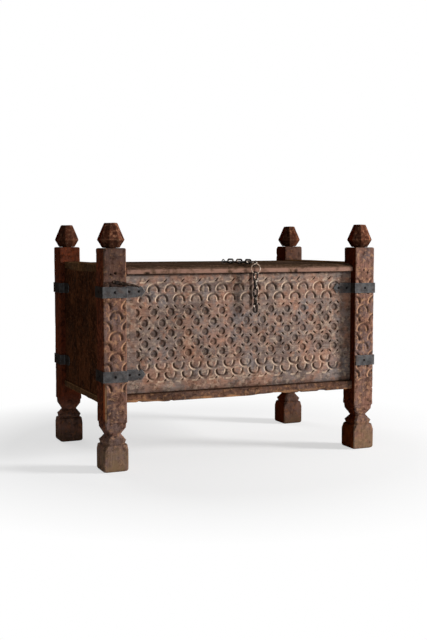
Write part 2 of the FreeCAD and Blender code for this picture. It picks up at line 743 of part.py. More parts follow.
def make_lid_stile():
    """Back lid board: round nose about the pintles, and the two pintles themselves."""
    start = "(lid_front_width + lid_middle_width)"
    nose = "(%s + %s)" % (LID_FRONT, PINTLE_PLACE)
    body = new_body("lid_stile_back", "0", "-" + LID_FRONT, "lid_underside")
    sketch = new_sketch(body, "lid_stile_section", "YZ_Plane")
    draw_outline(sketch, [
        (start, "0"),
        (nose, "0", nose, "lid_thickness / 2"),
        (nose, "lid_thickness"),
        (start, "lid_thickness"),
    ])
    pad(sketch, "2 * " + LID_HALF_LENGTH, both_ways=True)
    sketch = new_sketch(body, "lid_stile_pintles", "YZ_Plane")
    draw_circle(sketch, nose, "lid_thickness / 2", "pintle_radius")
    pad(sketch, "2 * (%s + pintle_length)" % LID_HALF_LENGTH, both_ways=True)
    peg_holes(
        body, "lid_stile_peg_holes", batten_pegs(2), "-cut_overrun", "cut_overrun + peg_bite + joint_gap")
    return body


def make_batten(label, side_x):
    """Batten across the lid boards' undersides, bevelled at both ends."""
    body = new_body(label, "%d * %s" % (side_x, BATTEN_PLACE), "0", "lid_underside - batten_thickness")
    half = "(chest_depth / 2 - panel_setback - panel_thickness - batten_end_gap)"
    sketch = new_sketch(body, label + "_side", "YZ_Plane")
    draw_outline(sketch, [
        ("-(%s - batten_bevel)" % half, "0"),
        ("%s - batten_bevel" % half, "0"),
        (half, "batten_bevel"),
        (half, "batten_thickness"),
        ("-" + half, "batten_thickness"),
        ("-" + half, "batten_bevel"),
    ])
    pad(sketch, "batten_width", both_ways=True)
    places = [("0", "%s - %s" % (lid_joint(index), LID_FRONT)) for index in range(3)]
    peg_holes(body, label + "_holes", places, "-cut_overrun", "batten_thickness + 2 * cut_overrun")
    return body


def make_pegs():
    """Six whittled pegs that hold the battens to the lid boards."""
    pegs = []
    for side in (-1, 1):
        for index in range(3):
            peg = doc.addObject("Part::Prism", "batten_peg")
            peg.Polygon = 8
            bind(peg, "Circumradius", "peg_radius")
            bind(peg, "Height", "batten_thickness + peg_bite")
            place(
                peg, "%d * %s" % (side, BATTEN_PLACE), "%s - %s" % (lid_joint(index), LID_FRONT),
                "lid_underside - batten_thickness")
            pegs.append(peg)
    return gathered("lid_batten_pegs", pegs)


def gathered(label, pieces):
    """Several separate solids in one node."""
    group = doc.addObject("Part::Compound", label)
    group.Links = pieces
    group.Label = label
    return group


# Cut at a strap's end, as shares of the head's length back from the tip and of the half height
ARROW_TIP_shares = ((1.0, 1.1), (1.0, 1.0), (0.86, 0.56), (0.62, 1.0), (0.48, 0.94), (0.0, 0.0))
ROUNDED_TIP_shares = ((0.5, 1.1), (0.5, 1.0), (0.22, 0.86), (0.06, 0.6), (0.0, 0.25))
# Nails along a strap's arms, as shares of the arm's reach
END_NAIL_shares = (0.3, 0.75)
PANEL_NAIL_shares = (0.25, 0.7)


def cut_tip(body, name, plane, sign, tip, shape_shares):
    """Cut an arm's end to an outline that is the same above and below its middle."""
    beyond = (-0.2, shape_shares[0][1])
    upper = [beyond] + list(shape_shares)
    lower = [(along, -across) for along, across in reversed(upper)]
    if lower[0] == upper[-1]:
        lower = lower[1:]
    corners = [
        ("%d * (%s - %g * strap_head)" % (sign, tip, along), "strap_height / 2 * (1 + %g)" % across)
        for along, across in upper + lower]
    sketch = new_sketch(body, name, plane)
    draw_outline(sketch, corners)
    pocket(sketch, "2 * (panel_setback + end_setback)", both_ways=True)


def strap_level(corner, row):
    """Lower edge of a strap, measured down from the lid or up from the long bottom rails."""
    if row == "upper":
        return "(lid_underside - %s_upper_drop)" % corner
    return "(%s + %s_lower_rise)" % (LONG_RAIL_TOP, corner)


def make_strap(corner, side_x, side_y, row, long_arm, long_tip):
    """Strap round a corner: panel arm, step out to the post, round it, and an arm on the end."""
    label = "strap_%s_%s" % (corner, row)
    body = new_body(
        label, "%d * chest_width / 2" % side_x, "%d * chest_depth / 2" % side_y,
        strap_level(corner, row))
    thick = "strap_thickness"
    end_tip = "(post_width + end_reach)"
    inner = [
        ("0", "0"), ("0", "post_width"), ("end_setback", "post_width"), ("end_setback", end_tip),
        ("end_setback - " + thick, end_tip), ("end_setback - " + thick, "post_width + " + thick),
        ("-" + thick, "post_width + " + thick), ("-" + thick, "-" + thick),
    ]
    if long_tip:
        arm = "(post_width + %s)" % long_arm
        outline = inner + [
            ("post_width + " + thick, "-" + thick), ("post_width + " + thick, "panel_setback - " + thick),
            (arm, "panel_setback - " + thick), (arm, "panel_setback"),
            ("post_width", "panel_setback"), ("post_width", "0"),
        ]
    else:
        stub = "post_width - " + long_arm
        outline = inner + [(stub, "-" + thick), (stub, "0")]
    sketch = new_sketch(body, label + "_plan", "XY_Plane")
    draw_outline(sketch, [("%d * (%s)" % (-side_x, x), "%d * (%s)" % (-side_y, y)) for x, y in outline])
    pad(sketch, "strap_height")
    if long_tip:
        cut_tip(body, label + "_panel_tip", "XZ_Plane", -side_x, arm, long_tip)
    cut_tip(body, label + "_end_tip", "YZ_Plane", -side_y, end_tip, ROUNDED_TIP_shares)
    return body


def strap_nail_places(corner, side_x, side_y, row, long_arm, long_tip):
    """Each nail of a strap: place along X and Y, level, and the way its head faces."""
    level = strap_level(corner, row) + " + strap_height / 2"
    front = "%d * (chest_depth / 2 + strap_thickness)" % side_y
    side = "%d * (chest_width / 2 + strap_thickness)" % side_x
    panel = "%d * (chest_depth / 2 - panel_setback + strap_thickness)" % side_y
    end = "%d * (chest_width / 2 - end_setback + strap_thickness)" % side_x
    facing_long, facing_end = Vector(0, side_y, 0), Vector(side_x, 0, 0)
    places = [
        ("%d * (chest_width / 2 - post_width / 2)" % side_x, front, level, facing_long),
        (side, "%d * (chest_depth / 2 - post_width / 2)" % side_y, level, facing_end),
    ]
    for share in END_NAIL_shares:
        along = "%d * (chest_depth / 2 - post_width - %g * end_reach)" % (side_y, share)
        places.append((end, along, level, facing_end))
    if long_tip:
        for share in PANEL_NAIL_shares:
            along = "%d * (chest_width / 2 - post_width - %g * %s)" % (side_x, share, long_arm)
            places.append((along, panel, level, facing_long))
    return places


def square_head(base, tip, height):
    """Forged nail head with four slopes, standing on the XZ plane."""
    head = doc.addObject("Part::Wedge", "nail_head")
    bind(head, "Ymax", height)
    head.Ymin = 0
    for name, formula in (("X", base), ("Z", base), ("X2", tip), ("Z2", tip)):
        bind(head, name + "min", "-" + formula)
        bind(head, name + "max", formula)
    return head


def make_strap_nails(straps):
    heads = []
    for strap in straps:
        for x, y, z, facing in strap_nail_places(*strap):
            heads.append(square_head("nail_head_radius", "nail_tip_radius", "nail_head_height"))
            place(heads[-1], x, y, z, Rotation(Vector(0, 1, 0), facing))
    return gathered("strap_nails", heads)


def bent_bar(points, thickness):
    """Forged bar of six flats along straight runs, mitred where they meet."""
    turn = Rotation(Vector(0, 0, 1), points[1] - points[0])
    section = []
    for step in range(7):
        angle = math.radians(30 + 60 * step)
        corner = Vector(math.cos(angle), math.sin(angle), 0) * (thickness / 2)
        section.append(points[0] + turn.multVec(corner))
    sweep = Part.BRepOffsetAPI.MakePipeShell(Part.makePolygon(points))
    sweep.setTransitionMode(1)
    sweep.add(Part.makePolygon(section))
    sweep.build()
    sweep.makeSolid()
    return sweep.shape()


def bend(radius, centre, start, steps):
    """Corners of a half turn whose runs touch a circle: they lie just outside it."""
    reach = radius / math.cos(math.radians(90 / steps))
    corners = []
    for step in range(steps):
        angle = math.radians(start + (step + 0.5) * 180 / steps)
        corners.append(Vector(centre + reach * math.cos(angle), reach * math.sin(angle), 0))
    return corners


def closed_link(radius, half, steps, thickness):
    """Closed link or ring in the XY plane: two half turns, their centres at half to each side."""
    start = Vector(0, -radius, 0)
    turns = bend(radius, half, -90, steps) + bend(radius, -half, 90, steps)
    return bent_bar([start] + turns + [start], thickness)


def shaped(label, shape):
    """A forged piece whose shape is made from the sheet's sizes."""
    piece = doc.addObject("Part::Feature", label)
    piece.Shape = shape
    piece.Label = label
    return piece


def moved(shape, rotation, base):
    return shape.transformed(FreeCAD.Placement(base, rotation).toMatrix())


def chain_link():
    radius = value("(link_width - wire) / 2")
    half = value("(link_length - link_width) / 2")
    return closed_link(radius, half, SIZES["link_bend_runs"], value("wire"))


LINK_PITCH = "(link_length - 2 * wire - link_play)"
LINK_HALF = "(link_length - wire) / 2"


def lying_direction():
    """The way the lying chain runs over the lid, from the eye to the staple."""
    turn = math.radians(value("lying_turn"))
    return Vector(-math.sin(turn), math.cos(turn), 0)


def lying_start():
    return Vector(value("ring_place"), value("lying_pull - " + RING_PLACE), 0)


def lying_length():
    return value("2 * %s + (lying_link_count - 1) * %s" % (LINK_HALF, LINK_PITCH))


def make_ring():
    """Large ring that hangs in the eye, in front of the lid's edge."""
    ring = closed_link(value("ring_radius"), 0, SIZES["ring_bend_runs"], value("ring_wire"))
    centre = Vector(value("ring_place"), -value(RING_PLACE), value(RING_TOP_LEVEL + " - ring_radius"))
    return shaped("chain_ring", moved(ring, Rotation(Vector(1, 0, 0), 90), centre))


def make_hanging_chain():
    """Links below the ring, each a quarter turn from the one above."""
    link = chain_link()
    ring_bottom = "(%s - 2 * ring_radius)" % RING_TOP_LEVEL
    top = value("%s + (ring_wire + wire) / 2 + link_play - %s" % (ring_bottom, LINK_HALF))
    upright = Rotation(Vector(0, 1, 0), 90)
    solids = []
    for index in range(SIZES["hanging_link_count"]):
        quarter = Rotation(Vector(0, 0, 1), 90 * (index % 2))
        spot = Vector(value("ring_place"), -value(RING_PLACE), top - index * value(LINK_PITCH))
        solids.append(moved(link, quarter * upright, spot))
    return shaped("chain_hanging", Part.makeCompound(solids))


def make_lying_chain():
    """Links on the lid, by turns flat and upright, from the eye back to the staple."""
    link = chain_link()
    forward = lying_direction()
    solids = []
    for index in range(SIZES["lying_link_count"]):
        upright = index % 2 == 1
        rise = "upright_link_rise" if upright else "flat_link_rise"
        spot = lying_start() + forward * value("%s + %d * %s" % (LINK_HALF, index, LINK_PITCH))
        spot.z = value("%s + %s" % (LID_TOP, rise))
        heading = Rotation(Vector(0, 0, 1), 90 + value("lying_turn"))
        roll = Rotation(Vector(1, 0, 0), 90 if upright else 0)
        solids.append(moved(link, heading * roll, spot))
    return shaped("chain_on_lid", Part.makeCompound(solids))


def make_eye():
    """Eye driven slantwise into the lid's front edge: a loop and its shank."""
    wire = value("wire")
    radius = value("eye_radius")
    centre = Vector(value("ring_place"), -value(RING_PLACE), value(EYE_LEVEL))
    loop = moved(closed_link(radius, 0, SIZES["eye_bend_runs"], wire), Rotation(Vector(0, 1, 0), 90), centre)
    shank = bent_bar([Vector(0, 0, radius), Vector(0, 0, radius + value("eye_shank_length"))], wire)
    shank = moved(shank, shank_rotation(), centre)
    return shaped("lid_eye", loop.fuse(shank))


def make_staple():
    """Staple over the lying chain's last link: an arch and two legs in the lid."""
    radius = value("staple_radius")
    arch_level = value("flat_link_rise")
    foot = -arch_level - value("staple_leg_length")
    arch = bend(radius, 0, 0, SIZES["link_bend_runs"])
    bar = bent_bar([Vector(radius, foot, 0)] + arch + [Vector(-radius, foot, 0)], value("wire"))
    spot = staple_place()
    spot.z = value(LID_TOP) + arch_level
    heading = Rotation(Vector(0, 0, 1), 90 + value("lying_turn"))
    return shaped("lid_staple", moved(bar, heading * Rotation(Vector(1, 0, 0), 90), spot))


def make_toggle():
    """Whittled toggle: butt, swell, waist and tip, with a hub that stands off the post."""
    body = new_body(
        "toggle",
        "toggle_place - chest_width / 2 - toggle_butt_length * cos(toggle_tilt)",
        "-(chest_depth / 2 + toggle_standoff)",
        TOGGLE_LEVEL + " + toggle_butt_length * sin(toggle_tilt)",
        Rotation(Vector(0, 1, 0), 90 + value("toggle_tilt")))
    profile = [
        ("0", "toggle_butt_width / 2"),
        ("toggle_butt_length / 2", "toggle_width / 2"),
        ("2 * toggle_butt_length", "toggle_width / 2"),
        ("toggle_butt_length + toggle_arm_length * toggle_waist_share", "toggle_waist_width / 2"),
        ("toggle_butt_length + toggle_arm_length", "toggle_tip_width / 2"),
    ]
    cut_bar(body, "stick", "toggle_width", "(toggle_butt_length + toggle_arm_length)", profile, profile)
    hub = new_sketch(body, "toggle_hub", "XZ_Plane")
    draw_outline(hub, octagon("toggle_hub_radius", "0", "toggle_butt_length"))
    pad(hub, "toggle_standoff - running_gap", backwards=True)
    hole = new_sketch(body, "toggle_hole", "XZ_Plane")
    draw_circle(hole, "0", "toggle_butt_length", "toggle_nail_radius + nail_play")
    pocket(hole, "4 * toggle_standoff", both_ways=True)
    return body


def make_toggle_nail():
    """Nail through the toggle into the post, with its head just clear of the wood."""
    x = "-(chest_width / 2 - toggle_place)"
    under_head = "-(chest_depth / 2 + toggle_standoff + toggle_width / 2 + running_gap)"
    shank = doc.addObject("Part::Prism", "toggle_nail_shank")
    shank.Polygon = 8
    bind(shank, "Circumradius", "toggle_nail_radius")
    bind(shank, "Height", "toggle_standoff + toggle_width / 2 + running_gap + toggle_nail_bite")
    place(shank, x, under_head, TOGGLE_LEVEL, Rotation(Vector(0, 0, 1), Vector(0, 1, 0)))
    head = square_head("toggle_nail_head_radius", "toggle_nail_radius", "toggle_nail_head_height")
    place(head, x, under_head, TOGGLE_LEVEL, Rotation(Vector(0, 1, 0), Vector(0, -1, 0)))
    nail = doc.addObject("Part::MultiFuse", "toggle_nail")
    nail.Shapes = [shank, head]
    nail.Label = "toggle_nail"
    return nail


STRAPS = (
    ("front_left", -1, -1, "upper", "long_reach", ARROW_TIP_shares),
    ("front_left", -1, -1, "lower", "long_reach", ARROW_TIP_shares),
    ("back_left", -1, 1, "upper", "short_reach", ROUNDED_TIP_shares),
    ("back_left", -1, 1, "lower", "short_reach", ROUNDED_TIP_shares),
    ("front_right", 1, -1, "upper", "long_reach", ARROW_TIP_shares),
    # The panel arm of this strap is broken off
    ("front_right", 1, -1, "lower", "broken_reach", ()),
    ("back_right", 1, 1, "upper", "short_reach", ROUNDED_TIP_shares),
    ("back_right", 1, 1, "lower", "short_reach", ROUNDED_TIP_shares),
)

nodes = []
for corner_name, along_x, along_y in CORNERS:
    nodes.append(make_post(corner_name, along_x, along_y))
    nodes.append(make_finial(corner_name, along_x, along_y))
nodes.append(make_long_board("front_panel", -1, LONG_RAIL_TOP, "%s - %s" % (PANEL_TOP, LONG_RAIL_TOP)))
nodes.append(make_long_board("back_board_lower", 1, LONG_RAIL_TOP, "back_lower_height"))
nodes.append(make_long_board(
    "back_board_upper", 1, LONG_RAIL_TOP + " + back_lower_height",
    "%s - %s - back_lower_height" % (BACK_BOARD_TOP, LONG_RAIL_TOP)))
nodes.append(make_long_rail("front_bottom_rail", -1))
nodes.append(make_long_rail("back_bottom_rail", 1))
nodes.append(make_back_top_rail("back_top_rail"))
for side_name, along_x in (("left", -1), ("right", 1)):
    nodes.append(make_end_bottom_rail("end_bottom_rail_" + side_name, along_x))
    nodes.append(make_end_top_rail("end_top_rail_" + side_name, along_x))
    for number in range(SIZES["end_board_count"]):
        nodes.append(make_end_board("end_board_%s_%d" % (side_name, number + 1), along_x, number))
    nodes.append(make_batten("lid_batten_" + side_name, along_x))
for number in range(SIZES["floor_board_count"]):
    nodes.append(make_floor_board("floor_board_%d" % (number + 1), number))
nodes.append(make_lid_front())
nodes.append(make_lid_middle())
nodes.append(make_lid_stile())
nodes.append(make_pegs())
for strap_row in STRAPS:
    nodes.append(make_strap(*strap_row))
nodes.append(make_strap_nails(STRAPS))
nodes.append(make_eye())
nodes.append(make_ring())
nodes.append(make_hanging_chain())
nodes.append(make_lying_chain())
nodes.append(make_staple())
nodes.append(make_toggle())
nodes.append(make_toggle_nail())
doc.recompute()

for thing in doc.Objects:
    if "Invalid" in thing.State or "Error" in thing.State:
        raise RuntimeError("%s is %s" % (thing.Name, thing.State))
for cut_feature in doc.findObjects("PartDesign::Pocket"):
    if cut_feature.Shape.Volume >= cut_feature.BaseFeature.Shape.Volume:
        raise RuntimeError("%s cuts nothing" % cut_feature.Name)

os.makedirs("parts", exist_ok=True)
for node in nodes:
    if node.Shape.isNull() or not node.Shape.isValid():
        raise RuntimeError("%s has no valid shape" % node.Label)
    node.Shape.exportStep("parts/%s.step" % node.Label)
print("%d nodes written" % len(nodes))
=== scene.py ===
import math

import bmesh
import bpy
import numpy as np
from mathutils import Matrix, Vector


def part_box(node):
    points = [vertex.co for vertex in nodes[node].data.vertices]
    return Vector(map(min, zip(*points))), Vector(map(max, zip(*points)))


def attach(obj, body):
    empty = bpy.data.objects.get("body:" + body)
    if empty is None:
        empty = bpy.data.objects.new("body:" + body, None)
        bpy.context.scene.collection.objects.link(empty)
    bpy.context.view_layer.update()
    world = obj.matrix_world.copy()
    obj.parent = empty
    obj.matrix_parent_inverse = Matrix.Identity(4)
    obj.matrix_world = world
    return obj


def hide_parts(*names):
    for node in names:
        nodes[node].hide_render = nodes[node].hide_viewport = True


# Carved dowry chest: worn boards and posts, cut ornament, forged straps, chain and toggle.
# Metres, +X to the right, +Y to the back, +Z up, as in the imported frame.

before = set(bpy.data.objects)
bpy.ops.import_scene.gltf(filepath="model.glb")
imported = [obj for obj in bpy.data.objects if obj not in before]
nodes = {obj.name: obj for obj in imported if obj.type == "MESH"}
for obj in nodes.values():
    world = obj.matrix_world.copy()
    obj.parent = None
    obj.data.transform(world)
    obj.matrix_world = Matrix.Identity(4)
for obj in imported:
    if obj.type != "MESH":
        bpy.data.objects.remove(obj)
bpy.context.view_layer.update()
MM = 0.001


# ---------------- colours and node helpers

def paint(red, green, blue):
    """Linear colour of a paint chip given in display values from 0 to 255."""
    shares = [channel / 255 for channel in (red, green, blue)]
    return tuple(s / 12.92 if s <= 0.04045 else ((s + 0.055) / 1.055) ** 2.4 for s in shares) + (1,)


def add(tree, kind, inputs=None, **settings):
    """New node of a tree, with its settings and its inputs set, or linked to a socket or a node's first output."""
    made = tree.nodes.new(kind)
    for name, setting in settings.items():
        setattr(made, name, setting)
    for name, given in (inputs or {}).items():
        if isinstance(given, bpy.types.Node):
            given = given.outputs[0]
        if isinstance(given, bpy.types.NodeSocket):
            tree.links.new(given, made.inputs[name])
        else:
            made.inputs[name].default_value = given
    return made


def combine(tree, operation, first, second):
    return add(tree, "ShaderNodeMath", {0: first, 1: second}, operation=operation).outputs[0]


def times(tree, first, second):
    return combine(tree, "MULTIPLY", first, second)


def triple(tree, amount):
    """Vector, or grey, whose three parts are the same amount."""
    return add(tree, "ShaderNodeCombineXYZ", {0: amount, 1: amount, 2: amount})


def blend(tree, share, first, second, how="MIX"):
    return add(
        tree, "ShaderNodeMix", {0: share, 6: first, 7: second}, data_type="RGBA", blend_type=how).outputs[2]


def spread(tree, amount, low, high, to_low=0.0, to_high=1.0):
    """Amount stretched so that low to high fills to_low to to_high."""
    return add(
        tree, "ShaderNodeMapRange",
        {"Value": amount, "From Min": low, "From Max": high, "To Min": to_low, "To Max": to_high}).outputs[0]


def mottle(tree, where, scale, low, high, detail=4.0, coarse=0.6):
    """Mask of soft patches: noise of a scale, stretched between two levels."""
    cloud = add(tree, "ShaderNodeTexNoise", {"Vector": where, "Scale": scale, "Detail": detail, "Roughness": coarse})
    return spread(tree, cloud, low, high)


def layer(tree, given, colour, layers):
    """Colour with patches of other tints laid over it, one layer after the other."""
    for where, scale, low, high, detail, coarse, share, tint in layers:
        patches = mottle(tree, where, scale, low, high, detail, coarse)
        colour = blend(tree, times(tree, patches, share), colour, given[tint])
    return colour


def node_group(name, kind, inputs, outputs):
    """Empty node group with named sockets: (tree, its input sockets, its output node)."""
    tree = bpy.data.node_groups.new(name, kind)
    for way, sockets in (("INPUT", inputs), ("OUTPUT", outputs)):
        for socket, value in sockets:
            tree.interface.new_socket(socket, in_out=way, socket_type="NodeSocket" + value)
    return tree, tree.nodes.new("NodeGroupInput").outputs, tree.nodes.new("NodeGroupOutput")


def surface_group(name, vectors, amounts, colours):
    """Empty shader group of a surface, from the names of its inputs."""
    inputs = [
        (socket, value) for value, sockets in (("Vector", vectors), ("Float", amounts), ("Color", colours))
        for socket in sockets]
    return node_group(
        name, "ShaderNodeTree", inputs, (("Color", "Color"), ("Roughness", "Float"), ("Height", "Float")))


# Darker, redder tint of faces turned away from the front and the light: old oil that hands and cloths never rubbed,
# and painted shade
OIL_AND_SHADE_TINT = (0.62, 0.22, 0.09, 1)
# Darker tint of iron on the faces turned away from the front and the light: scale the iron kept, and painted shade
SCALE_AND_SHADE_TINT = (0.42, 0.36, 0.32, 1)


def aged_wood_group():
    """Old wood with its oil: streaks along the grain, patches, worn arrises, grime and painted shade in cuts and
    beneath things, painted shade on faces turned from the light, painted highlights on lit edges of cuts, pale specks.
    """
    tree, given, result = surface_group(
        "aged_wood", ("Grain", "Place"), ("Tone", "Wear", "Cut", "Side", "Patches", "Dust level"),
        ("Dark", "Mid", "Light", "Worn", "Recess", "Bloom", "Dust"))
    # Each piece's tone moves its noise, so that no two pieces are alike
    shift = add(tree, "ShaderNodeVectorMath", {0: triple(tree, given["Tone"]), "Scale": 9.0}, operation="SCALE")
    grain, place = (
        add(tree, "ShaderNodeVectorMath", {0: given[where], 1: shift}, operation="ADD").outputs[0]
        for where in ("Grain", "Place"))
    streaks = mottle(tree, grain, 9.0, 0.36, 0.66, 7.0)
    fibres = mottle(tree, grain, 60.0, 0.25, 0.75, 3.0)
    rubbed = mottle(tree, place, 38.0, 0.3, 0.5)
    # Noise, scale, levels, detail and coarseness of each layer, then its share and its tint
    colour = layer(tree, given, blend(tree, streaks, given["Dark"], given["Mid"]), (
        (place, 8.0, 0.5, 0.6, 6.0, 0.7, 0.6, "Bloom"),
        (place, 11.0, 0.48, 0.62, 5.0, 0.6, given["Patches"], "Light"),
        (grain, 3.0, 0.35, 0.65, 3.0, 0.6, 0.25, "Dark"),
        (place, 6.5, 0.5, 0.66, 7.0, 0.72, 0.4, "Recess"),
        (place, 42.0, 0.52, 0.62, 6.0, 0.7, 0.4, "Light"),
        (grain, 26.0, 0.54, 0.64, 6.0, 0.7, 0.5, "Recess")))
    colour = blend(tree, 1.0, colour, triple(tree, spread(tree, fibres, 0.0, 1.0, 0.72, 1.16)), "MULTIPLY")
    colour = layer(tree, given, colour, (
        (place, 58.0, 0.5, 0.62, 5.0, 0.65, given["Patches"], "Recess"),
        (place, 74.0, 0.53, 0.66, 4.0, 0.6, times(tree, given["Patches"], 0.8), "Worn")))
    # The wear mask lays the worn tint on rubbed arrises, and as painted highlight on the lit edges of cuts
    colour = blend(tree, times(tree, given["Wear"], rubbed), colour, given["Worn"])
    # The cut mask lays the recess tint as grime in cuts and as painted shade
    colour = blend(tree, times(tree, given["Cut"], 0.88), colour, given["Recess"])
    level = add(tree, "ShaderNodeSeparateXYZ", {0: given["Place"]}).outputs[2]
    low_down = spread(tree, combine(tree, "DIVIDE", level, given["Dust level"]), 1.0, 0.15)
    dusty = times(tree, low_down, mottle(tree, place, 24.0, 0.34, 0.58, 6.0))
    colour = blend(tree, dusty, colour, given["Dust"])
    colour = layer(tree, given, colour, ((place, 190.0, 0.62, 0.74, 2.0, 0.6, 0.4, "Dust"),))
    # Old oil and painted shade: the side mask darkens faces turned away from the front and the light
    tree.links.new(blend(tree, given["Side"], colour, OIL_AND_SHADE_TINT, "MULTIPLY"), result.inputs["Color"])
    rough = combine(tree, "SUBTRACT", 0.76, times(tree, streaks, 0.18))
    tree.links.new(combine(tree, "ADD", rough, times(tree, dusty, 0.2)), result.inputs["Roughness"])
    relief = combine(tree, "ADD", times(tree, streaks, 0.55), times(tree, fibres, 0.35))
    tree.links.new(combine(tree, "ADD", relief, times(tree, rubbed, 0.3)), result.inputs["Height"])
    return tree


def forged_iron_group():
    """Hand-forged iron: hammer marks, scale and rust, rubbed bright on its arrises, with painted glints and painted
    shade on faces turned from the front.
    """
    tree, given, result = surface_group(
        "forged_iron", ("Place",), ("Wear", "Rust share", "Side", "Glints"), ("Steel", "Scale tone", "Rust", "Rubbed"))
    place = given["Place"]
    hammer = mottle(tree, place, 85.0, 0.35, 0.65, 2.0)
    rust = mottle(tree, place, 28.0, 0.5, 0.64, 7.0, 0.7)
    pits = mottle(tree, place, 420.0, 0.55, 0.75, 2.0)
    rust_share = times(tree, rust, given["Rust share"])
    colour = layer(tree, given, given["Steel"], ((place, 45.0, 0.42, 0.62, 6.0, 0.7, 1.0, "Scale tone"),))
    colour = blend(tree, rust_share, colour, given["Rust"])
    colour = blend(tree, times(tree, given["Wear"], hammer), colour, given["Rubbed"])
    colour = blend(tree, times(tree, pits, 0.5), colour, given["Scale tone"])
    # Painted glints: specks of the rubbed tint standing in for highlights
    colour = layer(tree, given, colour, ((place, 95.0, 0.6, 0.66, 1.0, 0.6, given["Glints"], "Rubbed"),))
    # Old scale and painted shade on faces turned away from the front
    tree.links.new(blend(tree, given["Side"], colour, SCALE_AND_SHADE_TINT, "MULTIPLY"), result.inputs["Color"])
    tree.links.new(spread(tree, rust_share, 0.0, 1.0, 0.5, 0.85), result.inputs["Roughness"])
    relief = combine(tree, "ADD", times(tree, hammer, 0.6), times(tree, rust, 0.4))
    tree.links.new(combine(tree, "SUBTRACT", relief, times(tree, pits, 0.5)), result.inputs["Height"])
    return tree


AGED_WOOD = aged_wood_group()
FORGED_IRON = forged_iron_group()
GRAIN = {"x": (1.0, 9.0, 9.0), "y": (9.0, 1.0, 9.0), "z": (9.0, 9.0, 1.0)}


def point_mask(tree, mask):
    return add(tree, "ShaderNodeAttribute", attribute_name=mask).outputs["Fac"]


def finish_with(name, group, values, relief, specular):
    """Material that carries a surface group's colour, roughness and relief."""
    material = bpy.data.materials.new(name)
    material.use_nodes = True
    tree = material.node_tree
    tree.nodes.clear()
    surface = add(tree, "ShaderNodeGroup", values(tree), node_tree=group)
    bump = add(tree, "ShaderNodeBump", {"Strength": 1.0, "Distance": relief, "Height": surface.outputs["Height"]})
    shader = add(
        tree, "ShaderNodeBsdfPrincipled",
        {"Base Color": surface.outputs["Color"], "Roughness": surface.outputs["Roughness"],
         "Normal": bump, "Specular IOR Level": specular})
    add(tree, "ShaderNodeOutputMaterial", {0: shader})
    return material


WOOD_TINTS = ("Dark", "Mid", "Light", "Worn", "Recess", "Bloom", "Dust")
IRON_TINTS = ("Steel", "Scale tone", "Rust", "Rubbed")


def wood(name, grain, *tints, patches=0.6, dust=(134, 112, 92), dust_level=0.02, sheen=0.0):
    """Aged wood whose grain runs along x, y or z, in six tints from dark to bloom."""
    def values(tree):
        place = add(tree, "ShaderNodeTexCoord").outputs["Object"]
        return {
            "Grain": add(tree, "ShaderNodeMapping", {"Vector": place, "Scale": GRAIN[grain]}), "Place": place,
            "Patches": patches, "Dust level": dust_level,
            **{mask: point_mask(tree, mask.lower()) for mask in ("Tone", "Wear", "Cut", "Side")},
            **{tint: paint(*chip) for tint, chip in zip(WOOD_TINTS, (*tints, dust))}}
    return finish_with(name, AGED_WOOD, values, 0.6 * MM, sheen)


def iron(name, *tints, rust_share, relief, specular=0.0, glints=0.0):
    """Forged iron of the straps, the nails or the chain, in four tints from steel to rubbed."""
    def values(tree):
        return {
            "Place": add(tree, "ShaderNodeTexCoord").outputs["Object"],
            "Rust share": rust_share, "Glints": glints,
            **{mask: point_mask(tree, mask.lower()) for mask in ("Wear", "Side")},
            **{tint: paint(*chip) for tint, chip in zip(IRON_TINTS, tints)}}
    return finish_with(name, FORGED_IRON, values, relief, specular)


# ---------------- finishes

carved_board = wood(
    "carved_board_wood", "x", (107, 88, 81), (128, 113, 104), (168, 116, 88), (188, 164, 140), (40, 25, 17),
    (112, 107, 107), patches=0.5, sheen=0.07)
carved_post = wood(
    "carved_post_wood", "z", (92, 70, 62), (122, 99, 92), (138, 96, 78), (174, 132, 98), (34, 21, 16),
    (107, 94, 95), dust=(114, 92, 70), dust_level=0.13)
back_post = wood(
    "back_post_wood", "z", (94, 72, 64), (120, 94, 84), (134, 88, 70), (150, 100, 66), (40, 25, 18),
    (100, 86, 84), dust=(74, 56, 42), dust_level=0.06)
finial_wood = wood(
    "finial_wood", "z", (62, 32, 22), (100, 60, 45), (130, 74, 50), (172, 122, 92), (28, 14, 9), (84, 56, 46))
# End boards: dark red-brown wood, darkened further as painted shade for the left end turned away from the light
end_wood = wood(
    "shaded_end_board_wood", "z", (46, 24, 14), (68, 38, 24), (104, 60, 36), (104, 64, 40), (22, 11, 6), (52, 36, 28))
end_rail_wood = wood(
    "end_rail_wood", "y", (66, 44, 28), (98, 70, 48), (112, 78, 48), (134, 98, 64), (30, 18, 11),
    (78, 62, 50), patches=0.5)
lid_wood = wood(
    "lid_wood", "x", (58, 43, 31), (86, 66, 50), (98, 72, 54), (138, 106, 92), (24, 15, 10),
    (72, 60, 50), patches=0.45)
rail_wood = wood(
    "rail_wood", "x", (78, 56, 46), (104, 80, 70), (122, 84, 64), (158, 116, 82), (36, 23, 16), (96, 82, 78))
INNER_TINTS = ((78, 54, 38), (112, 82, 60), (124, 88, 60), (146, 110, 80), (42, 28, 20), (94, 76, 62))
inner_wood = wood("inner_wood", "x", *INNER_TINTS, patches=0.5)
inner_cross_wood = wood("inner_cross_wood", "y", *INNER_TINTS, patches=0.5)
toggle_wood = wood(
    "toggle_wood", "x", (10, 6, 4), (20, 12, 9), (66, 48, 42), (150, 128, 114), (6, 3, 2), (16, 11, 9),
    patches=0.25)
strap_iron = iron(
    "strap_iron", (84, 83, 83), (60, 58, 58), (90, 66, 54), (112, 112, 114), rust_share=0.35, relief=0.5 * MM)
nail_iron = iron(
    "nail_iron", (36, 34, 34), (22, 21, 21), (60, 42, 32), (96, 92, 88), rust_share=0.5, relief=0.3 * MM)
